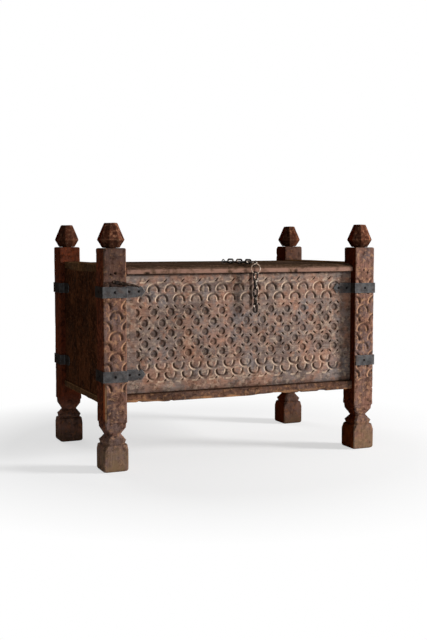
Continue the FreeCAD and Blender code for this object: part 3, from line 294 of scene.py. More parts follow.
# Painted glints: the chain's bright specks of its rubbed tint stand in for highlights
chain_iron = iron(
    "chain_iron", (40, 33, 29), (18, 14, 12), (66, 42, 32), (206, 190, 174),
    rust_share=0.4, relief=0.2 * MM, specular=0.1, glints=1.0)
# Painted highlight: the ring's iron is given pale tints and many glints for the light it catches
highlit_ring_iron = iron(
    "highlit_ring_iron", (176, 150, 130), (96, 76, 62), (120, 84, 62), (214, 198, 180),
    rust_share=0.4, relief=0.2 * MM, specular=0.1, glints=0.8)


# ---------------- noise and mesh helpers

def cell_value(x, y, z, seed):
    """Repeatable value from 0 to 1 for whole-number cells."""
    mixed = (x * 374761393 + y * 668265263 + z * 2246822519 + seed * 1274126177) & 0xFFFFFFFF
    mixed = ((mixed ^ (mixed >> 13)) * 1274126177) & 0xFFFFFFFF
    return ((mixed ^ (mixed >> 16)) & 0xFFFF) / 65535.0


def waver(points, size, seed=0):
    """Smooth values from -1 to 1 at points, with bumps about size metres across."""
    scaled = points / np.asarray(size, float)
    cell = np.floor(scaled).astype(np.int64)
    share = scaled - cell
    share = share * share * (3 - 2 * share)
    total = np.zeros(len(points))
    for corner in np.ndindex(2, 2, 2):
        weight = np.prod(np.where(corner, share, 1 - share), axis=1)
        total += weight * cell_value(*(cell + corner).T, seed)
    return 2 * total - 1


def ramp(amount, low, high):
    share = np.clip((amount - low) / (high - low), 0, 1)
    return share * share * (3 - 2 * share)


def in_scene(name, data):
    """New object of the scene."""
    made = bpy.data.objects.new(name, data)
    bpy.context.scene.collection.objects.link(made)
    return made


def write_masks(mesh, masks):
    for mask, amounts in masks.items():
        mesh.attributes.new(mask, "FLOAT", "POINT").data.foreach_set("value", np.asarray(amounts, float))


def settle(piece):
    """Mesh that the piece's modifiers make, which takes their place."""
    ready = bpy.data.meshes.new_from_object(piece.evaluated_get(bpy.context.evaluated_depsgraph_get()))
    piece.modifiers.clear()
    piece.data = ready
    return ready


def tone(seed, count):
    return np.full(count, (seed * 0.37) % 1.0)


def new_piece(name, points, faces, masks, material):
    """Object at the origin from points and faces, with its masks as point attributes."""
    mesh = bpy.data.meshes.new(name)
    mesh.from_pydata([tuple(p) for p in points], [], [tuple(int(i) for i in f) for f in faces])
    write_masks(mesh, masks)
    mesh.shade_smooth()
    mesh.set_sharp_from_angle(angle=math.radians(38))
    mesh.materials.append(material)
    return in_scene(name, mesh)


def stand_in(piece, node, body):
    """Piece takes a CAD node's place and rides on its body."""
    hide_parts(node)
    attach(piece, body)
    return piece


def grid_lines(low, high, step, soft):
    """Lines between two faces, close together near the arrises and even between them."""
    near = np.array([0, 0.12, 0.35, 0.7, 1.2]) * soft
    count = max(2, int(round((high - low - 2 * near[-1]) / step)))
    middle = np.linspace(low + near[-1], high - near[-1], count + 1)
    return np.concatenate([low + near[:-1], middle, high - near[-2::-1]])


def grid_quads(index):
    """Quads between the neighbours of a grid of point numbers."""
    return np.stack((index[:-1, :-1], index[1:, :-1], index[1:, 1:], index[:-1, 1:]), -1).reshape(-1, 4)


def shell(lines):
    """Points and outward faces of a closed box whose sides carry the given grid lines."""
    shape = tuple(len(axis) for axis in lines)
    outside = np.zeros(shape, bool)
    for axis in range(3):
        for end in (0, -1):
            outside[tuple(end if a == axis else slice(None) for a in range(3))] = True
    index = -np.ones(shape, int)
    index[outside] = np.arange(outside.sum())
    where = np.argwhere(outside)
    points = np.column_stack([lines[axis][where[:, axis]] for axis in range(3)])
    faces = []
    for plane, turned in (
            (index[:, :, -1], False), (index[:, :, 0], True), (index[:, 0, :], False),
            (index[:, -1, :], True), (index[-1, :, :], False), (index[0, :, :], True)):
        faces.append(grid_quads(plane)[:, ::-1] if turned else grid_quads(plane))
    return points, np.concatenate(faces)


def worn_board(name, low, high, grain, soft, wear, seed, material, step, shape):
    """Closed board with rubbed arrises of uneven roundness and a hand-worked surface."""
    low, high = np.asarray(low, float), np.asarray(high, float)
    points, faces = shell([grid_lines(low[a], high[a], step, soft * 1.6) for a in range(3)])
    grain_size = np.array([0.02, 0.02, 0.02])
    grain_size["xyz".index(grain)] = 0.12
    radius = soft * (1 + 0.55 * waver(points, 0.045, seed) + 0.3 * waver(points, 0.012, seed + 1))
    radius = np.minimum(radius, (high - low).min() * 0.45)[:, None]
    core = np.clip(points, low + radius, high - radius)
    away = points - core
    length = np.linalg.norm(away, axis=1)[:, None]
    outward = away / np.maximum(length, 1e-9)
    rounded = core + outward * np.minimum(length, radius)
    cut_back = np.linalg.norm(points - rounded, axis=1)
    sunk = wear * (0.5 + 0.35 * waver(points, grain_size, seed + 2) + 0.15 * waver(points, grain_size / 4, seed + 3))
    rounded -= outward * sunk[:, None]
    masks = {
        "wear": np.clip(cut_back / (0.25 * soft), 0, 1),
        "cut": np.zeros(len(points)),
        "tone": tone(seed, len(points))}
    if shape:
        rounded, masks = shape(rounded, masks)
    return new_piece(name, rounded, faces, masks, material)


def forged_copy(name, node, voxel, soften, dents, dent_size, seed, material, shade=0.0):
    """Even, softened and dented copy of a CAD node, worn inwards only."""
    mesh = nodes[node].data.copy()
    mesh.materials.clear()
    source = bmesh.new()
    source.from_mesh(mesh)
    bmesh.ops.remove_doubles(source, verts=source.verts, dist=1e-6)
    bmesh.ops.recalc_face_normals(source, faces=source.faces)
    source.to_mesh(mesh)
    source.free()
    piece = in_scene(name, mesh)
    even = piece.modifiers.new("even", "REMESH")
    even.mode, even.voxel_size, even.use_smooth_shade = "VOXEL", voxel, True
    soft = piece.modifiers.new("soft", "SMOOTH")
    soft.factor, soft.iterations = 0.5, soften
    ready = settle(piece)
    count = len(ready.vertices)
    points, normals = np.empty(count * 3), np.empty(count * 3)
    ready.vertices.foreach_get("co", points)
    ready.vertices.foreach_get("normal", normals)
    points, normals = points.reshape(-1, 3), normals.reshape(-1, 3)
    sunk = dents * (0.5 + 0.35 * waver(points, dent_size, seed) + 0.15 * waver(points, dent_size / 3, seed + 1))
    ready.vertices.foreach_set("co", (points - normals * sunk[:, None]).ravel())
    # Side mask: old oil on wood or scale on iron, and painted shade, on faces turned away from the front, less on
    # faces turned to the light at the right
    side = (1 - ramp(-normals[:, 1], 0.2, 0.7)) * (1 - 0.6 * ramp(normals[:, 0], 0.1, 0.6))
    # Painted shade beneath downward faces, and over the whole piece by the shade share, in the recess tint
    underside_shade = np.maximum(0.7 * ramp(-normals[:, 2], 0.1, 0.5), shade)
    write_masks(ready, {"wear": arris_share(ready, normals), "side": side, "cut": underside_shade, "tone": tone(seed, count)})
    ready.materials.clear()
    ready.materials.append(material)
    ready.shade_smooth()
    return piece


def arris_share(mesh, normals):
    """Share from 0 to 1 that says how sharply the surface turns at each point."""
    edges = np.empty(len(mesh.edges) * 2, int)
    mesh.edges.foreach_get("vertices", edges)
    edges = edges.reshape(-1, 2)
    bent = 1 - np.einsum("ij,ij->i", normals[edges[:, 0]], normals[edges[:, 1]])
    total = np.zeros(len(normals))
    count = np.zeros(len(normals))
    for end in (0, 1):
        np.add.at(total, edges[:, end], bent)
        np.add.at(count, edges[:, end], 1)
    return np.clip(total / np.maximum(count, 1) * 9, 0, 1)


# ---------------- camera, light and floor

# Fitted to the chest's own edges in the photo: metres, degrees and millimetres of lens
CAMERA_PLACE, CAMERA_YAW, CAMERA_DIP, CAMERA_LENS = (-1.5599, -3.638, 0.8158), 23.379, 4.575, 55.76
# Name, place, aim, size and power of each lamp
LAMPS = (
    ("key_lamp", (5.5, -3.3, 2.0), (0, -0.2, 0.4), 1.3, 730),
    ("front_lamp", (-0.4, -4.4, 2.2), (0, -0.2, 0.4), 2.4, 9),
    ("back_lamp", (-1.0, 3.4, 3.0), (0, 0, 0.5), 2.2, 50))
ROOM_LIGHT, BACKDROP = 0.14, 1.0

view_data = bpy.data.cameras.new("photo_camera")
view_data.lens, view_data.sensor_width = CAMERA_LENS, 36
photo_camera = in_scene("photo_camera", view_data)
photo_camera.location = CAMERA_PLACE
photo_camera.rotation_euler = (math.radians(90 - CAMERA_DIP), 0, math.radians(-CAMERA_YAW))
bpy.context.scene.camera = photo_camera
bpy.context.scene.view_settings.view_transform = "Standard"

for name, place, aim, size, power in LAMPS:
    lamp = bpy.data.lights.new(name, "AREA")
    lamp.shape, lamp.size, lamp.energy = "SQUARE", size, power
    holder = in_scene(name, lamp)
    holder.location = place
    holder.rotation_euler = (Vector(aim) - Vector(place)).to_track_quat("-Z", "Y").to_euler()


def seen_directly(tree):
    """Share that is 1 for rays from the camera and for what mirrors and glass show."""
    path = add(tree, "ShaderNodeLightPath").outputs
    either = combine(tree, "MAXIMUM", path["Is Camera Ray"], path["Is Glossy Ray"])
    return combine(tree, "MAXIMUM", either, path["Is Transmission Ray"])


WHITE = (1, 1, 1, 1)
world = bpy.data.worlds.new("studio")
bpy.context.scene.world = world
world.use_nodes = True
world_tree = world.node_tree
world_tree.nodes.clear()
room_light = add(world_tree, "ShaderNodeBackground", {"Color": WHITE, "Strength": ROOM_LIGHT})
backdrop = add(world_tree, "ShaderNodeBackground", {"Color": WHITE, "Strength": BACKDROP})
world_mix = add(world_tree, "ShaderNodeMixShader", {0: seen_directly(world_tree), 1: room_light, 2: backdrop})
add(world_tree, "ShaderNodeOutputWorld", {0: world_mix})

FLOOR_REACH = 9.0
# Distances from the chest's middle between which the floor fades into the backdrop
FADE_NEAR, FADE_FAR = 0.8, 1.35
floor_finish = bpy.data.materials.new("studio_floor")
floor_finish.use_nodes = True
floor_tree = floor_finish.node_tree
floor_tree.nodes.clear()
floor_place = add(floor_tree, "ShaderNodeTexCoord").outputs["Object"]
floor_distance = add(floor_tree, "ShaderNodeVectorMath", {0: floor_place}, operation="LENGTH").outputs["Value"]
faded = spread(floor_tree, floor_distance, FADE_NEAR, FADE_FAR, 0.6, 1.0)
faded = times(floor_tree, faded, seen_directly(floor_tree))
floor_matt = add(floor_tree, "ShaderNodeBsdfDiffuse", {"Color": (0.93, 0.93, 0.93, 1)})
floor_glow = add(floor_tree, "ShaderNodeEmission", {"Color": WHITE})
floor_mix = add(floor_tree, "ShaderNodeMixShader", {0: faded, 1: floor_matt, 2: floor_glow})
add(floor_tree, "ShaderNodeOutputMaterial", {0: floor_mix})
floor_mesh = bpy.data.meshes.new("studio_floor")
floor_mesh.from_pydata(
    [(x * FLOOR_REACH, y * FLOOR_REACH, 0) for x, y in ((-1, -1), (1, -1), (1, 1), (-1, 1))], [], [(0, 1, 2, 3)])
floor_mesh.materials.append(floor_finish)
studio_floor = in_scene("studio_floor", floor_mesh)


# ---------------- cut ornament

ARCH_REACH = 26 * MM
ARCH_INNER = 13.5 * MM
BOWL_REACH = 14.5 * MM
BOSS_REACH = 7 * MM
CHIP_HALF_LENGTH = 8 * MM
CHIP_HALF_WIDTH = 3.8 * MM
COLUMN_PITCH = 66.5 * MM
COLUMN_GROWTH = 0.09 * MM
ODD_START, OFFSET_START = -0.3528, -0.3873
# Start of each row of scales, its crown level and that level's rise per scale, and its way (-1 is upside down)
ARCH_ROWS = (
    (ODD_START, 0.6637, 0, 1), (OFFSET_START, 0.628, 0, 1), (OFFSET_START - 0.004, 0.343, 0, -1),
    (ODD_START - 0.003, 0.3085, 0.0005, -1))
NOTCH_LEVELS = (0.6675, 0.3085)
# Level and start of each row of bowls
BOWL_ROWS = (
    (0.5597, ODD_START), (0.5207, OFFSET_START), (0.4832, ODD_START), (0.4462, OFFSET_START), (0.4097, ODD_START))
# Ends and levels of the panel's ornament, its half length that shows, and its face
PANEL_EDGE, PANEL_LEVELS, PANEL_HALF, PANEL_FACE = (-0.420, 0.428), (0.290, 0.688), 0.4645, -0.305


class Ornament:
    """Depth of hand cuts at each place of a flat face, with grime and painted shade in them and rubbing and painted
    highlights on their edges.
    """

    def __init__(self, x, z):
        self.x, self.z = x, z
        self.depth, self.dirt, self.rub_and_highlight = np.zeros(len(x)), np.zeros(len(x)), np.zeros(len(x))

    def near(self, at_x, at_z, reach):
        spot = np.flatnonzero((np.abs(self.x - at_x) < reach) & (np.abs(self.z - at_z) < reach))
        return spot, self.x[spot] - at_x, self.z[spot] - at_z

    def lower(self, spot, cut, dirt, rub_and_highlight):
        deeper = cut > self.depth[spot]
        self.depth[spot] = np.maximum(self.depth[spot], cut)
        self.dirt[spot] = np.where(deeper, np.clip(dirt, 0, 1), self.dirt[spot])
        self.rub_and_highlight[spot] = np.where(deeper, np.clip(rub_and_highlight, 0, 1), self.rub_and_highlight[spot])

    def arch(self, at_x, crown, way, reach=ARCH_REACH):
        """V-cut crescent of a scale; way is -1 for one upside down."""
        spot, across, rise = self.near(at_x, crown, 2.4 * reach)
        up = way * rise + reach
        away = np.maximum(np.hypot(across, up), 1e-6)
        unlit = ramp(-way * across, 0, 10 * MM)
        outer, inner = 0.85 * (reach - away), (1.35 - 0.5 * unlit) * (away - ARCH_INNER * reach / ARCH_REACH)
        cut = np.minimum(outer, inner) * ramp(up, -8 * MM, -2 * MM)
        turned = np.where(inner < outer, 1, -1) * (0.85 * across - 0.4 * np.abs(up)) / away
        dirt, rub_and_highlight = self.shade_and_highlight(cut, turned)
        self.lower(spot, cut, dirt * (1 - 0.65 * unlit), rub_and_highlight)

    def shade_and_highlight(self, cut, turned):
        """Painted shade and highlight of a wall by its turn to the light: painted highlight where it is turned to the
        right, painted shade with some grime elsewhere.
        """
        dirt = (0.25 + 0.6 * ramp(-turned, -0.3, 0.7)) * ramp(cut, 0.5 * MM, 3 * MM)
        return dirt, 0.9 * ramp(turned, 0.0, 0.8) * ramp(cut, 0, 1 * MM) * ramp(-cut, -5.5 * MM, -3 * MM)

    def bowl(self, at_x, at_z):
        """Round bowl with a steep wall and a low boss in its middle."""
        spot, across, rise = self.near(at_x, at_z, 1.2 * BOWL_REACH)
        away = np.maximum(np.hypot(across, rise), 1e-6)
        cut = np.minimum(1.6 * (BOWL_REACH - away), 5 * MM - 0.7 * MM * ramp(-away, -BOSS_REACH, 0))
        wall = ramp(away, 0.6 * BOWL_REACH, 0.9 * BOWL_REACH)
        dirt, rub_and_highlight = self.shade_and_highlight(cut, -(0.95 * across + 0.3 * rise) / away)
        self.lower(spot, cut, 0.42 * (1 - wall) + dirt * wall, 0.45 * rub_and_highlight * wall)

    def chip(self, at_x, at_z, lean, half_length=CHIP_HALF_LENGTH, half_width=CHIP_HALF_WIDTH):
        """Short V chip whose length leans to the left (1) or to the right (-1)."""
        spot, across, rise = self.near(at_x, at_z, 1.2 * half_length)
        wide = (across + lean * rise) / math.sqrt(2)
        long = (across - lean * rise) / math.sqrt(2)
        cut = 1.6 * (half_width * (1 - (long / half_length) ** 2) - np.abs(wide))
        # Painted shade on one wall of the chip and painted highlight on the other, with some grime in it
        self.lower(spot, cut, 0.3 + 0.9 * ramp(wide, -1 * MM, 1 * MM), 0.6 * ramp(-wide, 0, 2 * MM))

    def notch(self, at_x, at_z):
        """Pale shallow sliver beside a long dark gouge, in the gap between two scales."""
        spot, across, rise = self.near(at_x, at_z, 20 * MM)
        sliver = np.minimum(0.22 * (across + 19 * MM), 0.9 * (9 * MM - across))
        sliver = np.minimum(sliver, 1.1 * (3.2 * MM - np.abs(rise - 0.06 * across)))
        self.lower(spot, sliver, 0 * across, 0.7 * ramp(sliver, 0, 0.5 * MM))
        self.chip(at_x + 11 * MM, at_z + 5 * MM, -1, 12 * MM, 3.2 * MM)

    def hole(self, at_x, at_z, radius):
        """Old peg hole with a dark run of dirt below it."""
        spot, across, rise = self.near(at_x, at_z, 5 * radius)
        away = np.hypot(across, rise)
        self.lower(spot, 3 * np.clip(radius - away, 0, radius), ramp(away, 1.2 * radius, 0.8 * radius), 0 * away)
        run = ramp(-np.abs(across), -radius, 0) * ramp(-rise, 0, radius) * ramp(rise, -4.5 * radius, -radius)
        self.dirt[spot] = np.maximum(self.dirt[spot], 0.8 * run)


def column_place(start, number):
    return start + COLUMN_PITCH * number + COLUMN_GROWTH * number ** 2


def panel_ornament(x, z):
    """Rows of scales and of bowls that make the front board's ornament."""
    cuts = Ornament(x, z)
    for number in range(12):
        for start, crown, rise, way in ARCH_ROWS:
            cuts.arch(column_place(start, number), crown + rise * number, way)
    for level, start in BOWL_ROWS:
        for number in range(-1, 12):
            at_x = column_place(start, number)
            if at_x > PANEL_EDGE[0] - 0.002:
                cuts.bowl(at_x, level)
            for side, rise in ((1, 1), (-1, 1), (1, -1), (-1, -1)):
                chip_x, chip_z = at_x + side * COLUMN_PITCH / 4, level + rise * 18.6 * MM
                if PANEL_EDGE[0] < chip_x < PANEL_EDGE[1]:
                    cuts.chip(chip_x, chip_z, side * rise)
    for number in range(13):
        for level in NOTCH_LEVELS:
            cuts.notch(column_place(ODD_START, number) - COLUMN_PITCH / 2, level)
    cuts.depth *= (x > PANEL_EDGE[0]) & (x < PANEL_EDGE[1])
    return cuts


def hand_work(points, seed):
    """Uneven hand-worked surface: broad hollows, tool marks and fine wear, in metres inwards."""
    return (
        0.55 * MM * (1 + waver(points, 0.07, seed)) + 0.35 * MM * (1 + waver(points, (0.03, 0.02, 0.012), seed + 1))
        + 0.12 * MM * (1 + waver(points, 0.0045, seed + 2)))


CHAIN_PLACE = 0.037
FINE_STEP = 1.95 * MM


def relief_lines(low, high, fine_low, fine_high):
    """Lines over a face: close over its ornament and wider over its plain edges."""
    count = int(round((fine_high - fine_low) / FINE_STEP))
    fine = np.linspace(fine_low, fine_high, count + 1)
    before = np.linspace(low, fine_low, max(3, int((fine_low - low) / (2.5 * FINE_STEP))))[:-1]
    after = np.linspace(fine_high, high, max(3, int((high - fine_high) / (2.5 * FINE_STEP))))[1:]
    return np.concatenate((before, fine, after))


def make_front_panel():
    """Carved front board as one relief of even cells with plain edges and back."""
    low, high = (np.array(corner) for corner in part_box("front_panel"))
    low[0], high[0] = -PANEL_HALF, PANEL_HALF
    xs, zs = relief_lines(low[0], high[0], *PANEL_EDGE), relief_lines(low[2], high[2], *PANEL_LEVELS)
    x, z = (values.ravel() for values in np.meshgrid(xs, zs, indexing="ij"))
    cuts = panel_ornament(x, z)
    flat = np.column_stack((x, np.full(len(x), PANEL_FACE), z))
    worn_cut = cuts.depth * (0.85 + 0.15 * waver(flat, 0.02, 40))
    edge = np.minimum(z - low[2], high[2] - z)
    round_over = 3 * MM * ramp(-edge, -4.5 * MM, 0)
    lost = 5 * MM * ramp(waver(flat, (0.05, 1, 0.012), 41), 0.55, 0.85) * ramp(z - high[2], -0.012, 0)
    sunk = hand_work(flat, 42) + worn_cut + round_over + lost
    points = np.column_stack((x, PANEL_FACE + sunk, z))
    index = np.arange(len(x)).reshape(len(xs), len(zs))
    rim = np.concatenate((index[:, 0], index[-1, 1:], index[-2::-1, -1], index[0, -2:0:-1]))
    back = np.column_stack((x[rim], np.full(len(rim), high[1]), z[rim]))
    back_index = len(points) + np.arange(len(rim))
    sides = list(zip(rim, back_index, np.roll(back_index, -1), np.roll(rim, -1)))
    faces = [tuple(q) for q in grid_quads(index)] + sides + [tuple(back_index[::-1])]
    # Grime and painted shade also mark the board: the hanging chain's painted shadow with the stain where the chain
    # rubbed it, the lid's shadow line, and a darker band along the bottom
    chain_shadow_and_stain = ramp(-np.abs(x - CHAIN_PLACE + 0.005 + 0.002 * waver(flat, 0.03, 44)), -0.0085, -0.0045)
    chain_shadow_and_stain = 0.95 * chain_shadow_and_stain * ramp(z, 0.553, 0.575)
    under_lid = 0.7 * ramp(z - high[2], -0.006, 0)
    margin = 0.5 * ramp(-z, -0.29, -0.275) * (0.5 + 0.5 * waver(flat, 0.03, 45))
    dirt = np.maximum.reduce((cuts.dirt * (cuts.depth > 0), chain_shadow_and_stain, under_lid, margin))
    fresh = 0.75 * (0.5 + 0.5 * waver(flat, 0.035, 46))
    rub_and_highlight = cuts.rub_and_highlight * (cuts.depth > 0) * (0.35 + fresh) * (1 - chain_shadow_and_stain)
    rest = np.zeros(len(rim))
    masks = {
        "cut": np.concatenate((dirt, rest)), "wear": np.concatenate((np.clip(rub_and_highlight, 0, 1), rest)),
        "tone": np.zeros(len(points) + len(rim))}
    return new_piece("carved_front_panel", np.concatenate((points, back)), faces, masks, carved_board)


stand_in(make_front_panel(), "front_panel", "chest")


# ---------------- posts

# Level, half width and bevel of each change in a post, in millimetres from the floor up
POST_PROFILE = np.array([
    (0, 37.5, 4), (2.6, 43.9, 4), (9, 46.5, 4), (75, 46.5, 4), (95, 46.5, 16), (98, 40, 16), (111, 43, 14),
    (131, 28, 15), (156, 40.5, 8), (172, 40.5, 3), (175, 43, 2), (785, 43, 2), (788.5, 41.5, 2), (790, 38, 2)]) * MM
POST_CENTRE = {"left": -0.507, "right": 0.507, "front": -0.295, "back": 0.295}
POST_ARCH_REACH = 28.5 * MM
# Crown level and pitch of the full scales, their place across the post and those of the half scales
POST_ARCHES = {"left": (0.574, 0.0725, 0.003, (-0.0377, 0.050)), "right": (0.571, 0.072, -0.0063, (-0.044, 0.043))}
# Old peg holes in the front posts: distance from the post's middle, level and radius
POST_HOLES = {
    "left": ((-0.0156, 0.699, 3.5 * MM), (0.0018, 0.7025, 5.5 * MM)),
    "right": ((-0.0045, 0.7025, 3.5 * MM), (0.0115, 0.6926, 3.5 * MM))}


def post_ornament(x, z, side):
    """A front post's column of scales, with half scales at both arrises."""
    first, pitch, middle, halves = POST_ARCHES[side]
    cuts = Ornament(x, z)
    for number in range(-1, 5):
        crown = first - pitch * number
        cuts.arch(middle, crown, 1, POST_ARCH_REACH)
        for half in halves:
            cuts.arch(half, crown + pitch / 2, 1, POST_ARCH_REACH)
    cuts.depth = cuts.depth * ramp(z, 0.27, 0.29) * ramp(-z, -0.672, -0.656)
    for at_x, at_z, radius in POST_HOLES[side]:
        cuts.hole(at_x, at_z, radius)
    return cuts


def make_post(front_back, side, seed, material):
    """Post from the floor up, ring by ring, with cut leg, rubbed arrises and any carving."""
    carved = front_back == "front"
    even = np.arange(0, 0.790, 2.5 * MM if carved else 5 * MM)
    far = np.abs(even[:, None] - POST_PROFILE[None, :, 0]).min(axis=1) > 1 * MM
    levels = np.sort(np.concatenate((even[far], POST_PROFILE[:, 0])))
    corner = np.array([0, 0.03, 0.07, 0.13, 0.2])
    plain = np.concatenate((-1 + corner, np.linspace(-0.7, 0.7, 8), 1 - corner[:0:-1]))
    fine = np.concatenate((-1 + corner[:4], np.linspace(-0.82, 0.82, 37), 1 - corner[3:0:-1]))
    turns = ((0, -1, 1, 0), (1, 0, 0, 1), (0, 1, -1, 0), (-1, 0, 0, -1))
    unit, facing = [], []
    for number, (out_x, out_y, run_x, run_y) in enumerate(turns):
        for share in (fine if carved and number == 0 else plain):
            unit.append((out_x + share * run_x, out_y + share * run_y))
            facing.append(number)
    unit, facing = np.array(unit), np.tile(facing, len(levels))
    front_face = facing == 0
    ring = len(unit)
    half, bevel = (
        np.repeat(np.interp(levels, POST_PROFILE[:, 0], POST_PROFILE[:, column]), ring) for column in (1, 2))
    x, y = (np.tile(unit[:, axis], len(levels)) * half for axis in (0, 1))
    z = np.repeat(levels, ring)
    centre = (POST_CENTRE[side], POST_CENTRE[front_back], 0)
    place = np.column_stack((x, y, z)) + centre
    uneven = 1 + 0.6 * waver(place, 0.05, seed) + 0.4 * waver(place, 0.011, seed + 1)
    rub = (0.5 + 1.1 * ramp(z, 0.17, 0.2)) * MM * uneven
    chips = 9 * MM * ramp(waver(place, (0.03, 0.03, 0.016), seed + 2), 0.62, 0.9)
    # Hands and feet have rubbed the front left post's outer arris round, above its leg
    outer_arris = (x < 0) & (y < 0) & (carved and side == "left")
    above_leg = ramp(z, 0.172, 0.182)
    rub = rub + 7 * MM * outer_arris * above_leg * ramp(-z, -0.36, -0.30)
    scale = np.minimum(1, (2 * half - bevel - rub - chips) / (np.abs(x) + np.abs(y)))
    rubbed_front = outer_arris * above_leg * ramp(-z, -0.33, -0.30)
    arris = ramp(1 - scale, 0.0, 0.04) * (0.3 + 0.7 * rubbed_front) * ramp(z, 0.16, 0.18)
    x, y = x * scale, y * scale
    normal = np.column_stack((x, y)) / np.maximum(np.hypot(x, y), 1e-9)[:, None]
    sunk = 0.35 * MM * (
        1 + 0.6 * waver(place, (0.03, 0.03, 0.13), seed + 3) + 0.4 * waver(place, (0.006, 0.006, 0.05), seed + 4))
    x, y = x - normal[:, 0] * sunk, y - normal[:, 1] * sunk
    cut = np.zeros(len(x))
    if carved:
        face = front_face & (z > 0.2)
        cuts = post_ornament(x, z, side)
        y = y + 0.8 * cuts.depth * face * (0.85 + 0.15 * waver(place, 0.02, seed + 5))
        cut = 0.7 * cuts.dirt * face
        arris = np.maximum(arris, cuts.rub_and_highlight * face * (cuts.depth > 0) * (0.6 + 0.4 * waver(place, 0.03, seed + 6)))
    points = np.column_stack((x, y, z)) + centre
    index = np.arange(len(levels) * ring).reshape(len(levels), ring)
    ahead = np.roll(index, -1, axis=1)
    faces = [tuple(q) for q in np.stack((index[:-1], ahead[:-1], ahead[1:], index[1:]), -1).reshape(-1, 4)]
    caps = []
    for rim, turned in ((index[0], True), (index[-1], False)):
        outline = rim
        for share in (0.8, 0.45):
            inner = len(points) + ring * len(caps) + np.arange(ring)
            caps.append((points[rim] - centre) * (share, share, 1) + centre)
            for quad in zip(outline, np.roll(outline, -1), np.roll(inner, -1), inner):
                faces.append(quad[::-1] if turned else quad)
            outline = inner
        faces.append(tuple(outline[::-1]) if turned else tuple(outline))
    points = np.concatenate([points] + caps)
    # Old oil and painted shade on faces turned away from the front, less on the faces turned to the light at the right
    turned_away = 1 - front_face * (carved or side == "right")
    oil_and_shade = turned_away * (1 if side == "right" else 0.85 * ramp(z, 0.10, 0.2)) * (1 - 0.6 * (facing == 1))
    # Painted shade on the front right post's faces turned away from the front and the light; the back right post is
    # darkened all over
    if side == "right":
        cut = np.maximum(cut, 0.6 * turned_away if carved else 0.6)
    if carved and side == "left":
        cut = np.maximum(cut, 0.6 * ramp(z, 0.664, 0.70) * (1 - turned_away))
    rest = np.zeros(len(points) - len(cut))
    masks = {mask: np.concatenate((at, rest)) for mask, at in (("cut", cut), ("wear", arris), ("side", oil_and_shade))}
    masks["tone"] = tone(seed, len(points))
    return new_piece("worn_post_%s_%s" % (front_back, side), points, faces, masks, material)


for front_back in ("front", "back"):
    for side in ("left", "right"):
        corner_name = "%s_%s" % (front_back, side)
        seed = 100 + 10 * len(corner_name) + (side == "left")
        finish, slot = (carved_post, "carved_wood") if front_back == "front" else (back_post, "post_wood")
        stand_in(make_post(front_back, side, seed, finish), "post_" + corner_name, "chest")
        # The back finials carry painted shade over their whole surface
        finial = forged_copy(
            "worn_finial_" + corner_name, "finial_" + corner_name, 2.2 * MM, 5, 1.6 * MM, 0.02, seed + 7, finial_wood,
            shade=0.55 if front_back == "back" else 0.0)
        stand_in(finial, "finial_" + corner_name, "chest")


# ---------------- boards, rails and lid

# Nodes, slot, finish, grain, roundness and wear in millimetres
BOARDS = (
    (("back_board_lower", "back_board_upper"), "inner_wood", inner_wood, "x", 2.5, 1.2),
    (("front_bottom_rail",), "rail_wood", rail_wood, "x", 5, 1.4),
    (("back_bottom_rail",), "rail_wood", rail_wood, "x", 4, 1.2),
    (("back_top_rail",), "rail_wood", rail_wood, "x", 3, 1.0),
    (("end_bottom_rail_left", "end_bottom_rail_right", "end_top_rail_left", "end_top_rail_right"),
     "rail_wood", end_rail_wood, "y", 3.5, 1.2),
    (["end_board_%s_%d" % (side, number) for side in ("left", "right") for number in (1, 2, 3)],
     "end_wood", end_wood, "z", 2, 1.6),
    (("lid_board_front",), "lid_wood", lid_wood, "x", 5, 1.3),
    (("lid_board_middle",), "lid_wood", lid_wood, "x", 3, 1.3))


def hand_worn_lid(points, masks):
    """Lid's front edge: its top worn to a slope by hands, its face rubbed pale, with splits and nicks."""
    x, y, z = points.T
    top = ramp(z, 0.706, 0.728)
    slope = 8 * MM * ramp(-y, 0.296, 0.327) * (1 + 0.25 * waver(points, 0.06, 60))
    nick = ramp(waver(points, (0.035, 0.05, 0.02), 61), 0.6, 0.85) * ramp(-y, 0.305, 0.325)
    sliver = ramp(-np.abs(x + 0.345), -0.11, -0.04) * ramp(-y, 0.309, 0.323)
    worn = points - np.column_stack((0 * x, -4 * MM * nick - 3 * MM * sliver * top, top * (slope + 3 * MM * nick)))
    face = ramp(-y, 0.317, 0.3245) * ramp(-z, -0.7235, -0.716)
    masks["wear"] = np.clip(masks["wear"] * 0.35 + 0.9 * face * (1 - nick), 0, 1)
    # Dark nicks, and painted shade along the lid's lowest front edge where it meets the board
    masks["cut"] = np.clip(0.8 * nick + 0.6 * ramp(-z, -0.7005, -0.698) * ramp(-y, 0.3, 0.32), 0, 1)
    return worn, masks


def ragged_rail(points, masks):
    """Front rail's lower arris, broken and rubbed to bright wood, and darker along its top."""
    low_edge = ramp(-points[:, 2], -0.262, -0.238)
    torn = ramp(waver(points, (0.07, 1, 1), 62), 0.1, 0.8) + 0.6 * ramp(waver(points, (0.018, 1, 1), 63), 0.3, 0.9)
    worn = points + np.column_stack((0 * torn, 3.5 * MM * torn * low_edge, 5.5 * MM * torn * low_edge))
    streak = ramp(waver(points, (0.05, 1, 0.006), 64), -0.1, 0.5)
    masks["wear"] = np.clip(ramp(-points[:, 2], -0.2525, -0.241) * streak, 0, 1)
    masks["cut"] = 0.85 * ramp(points[:, 2], 0.2655, 0.2705)
    return worn, masks


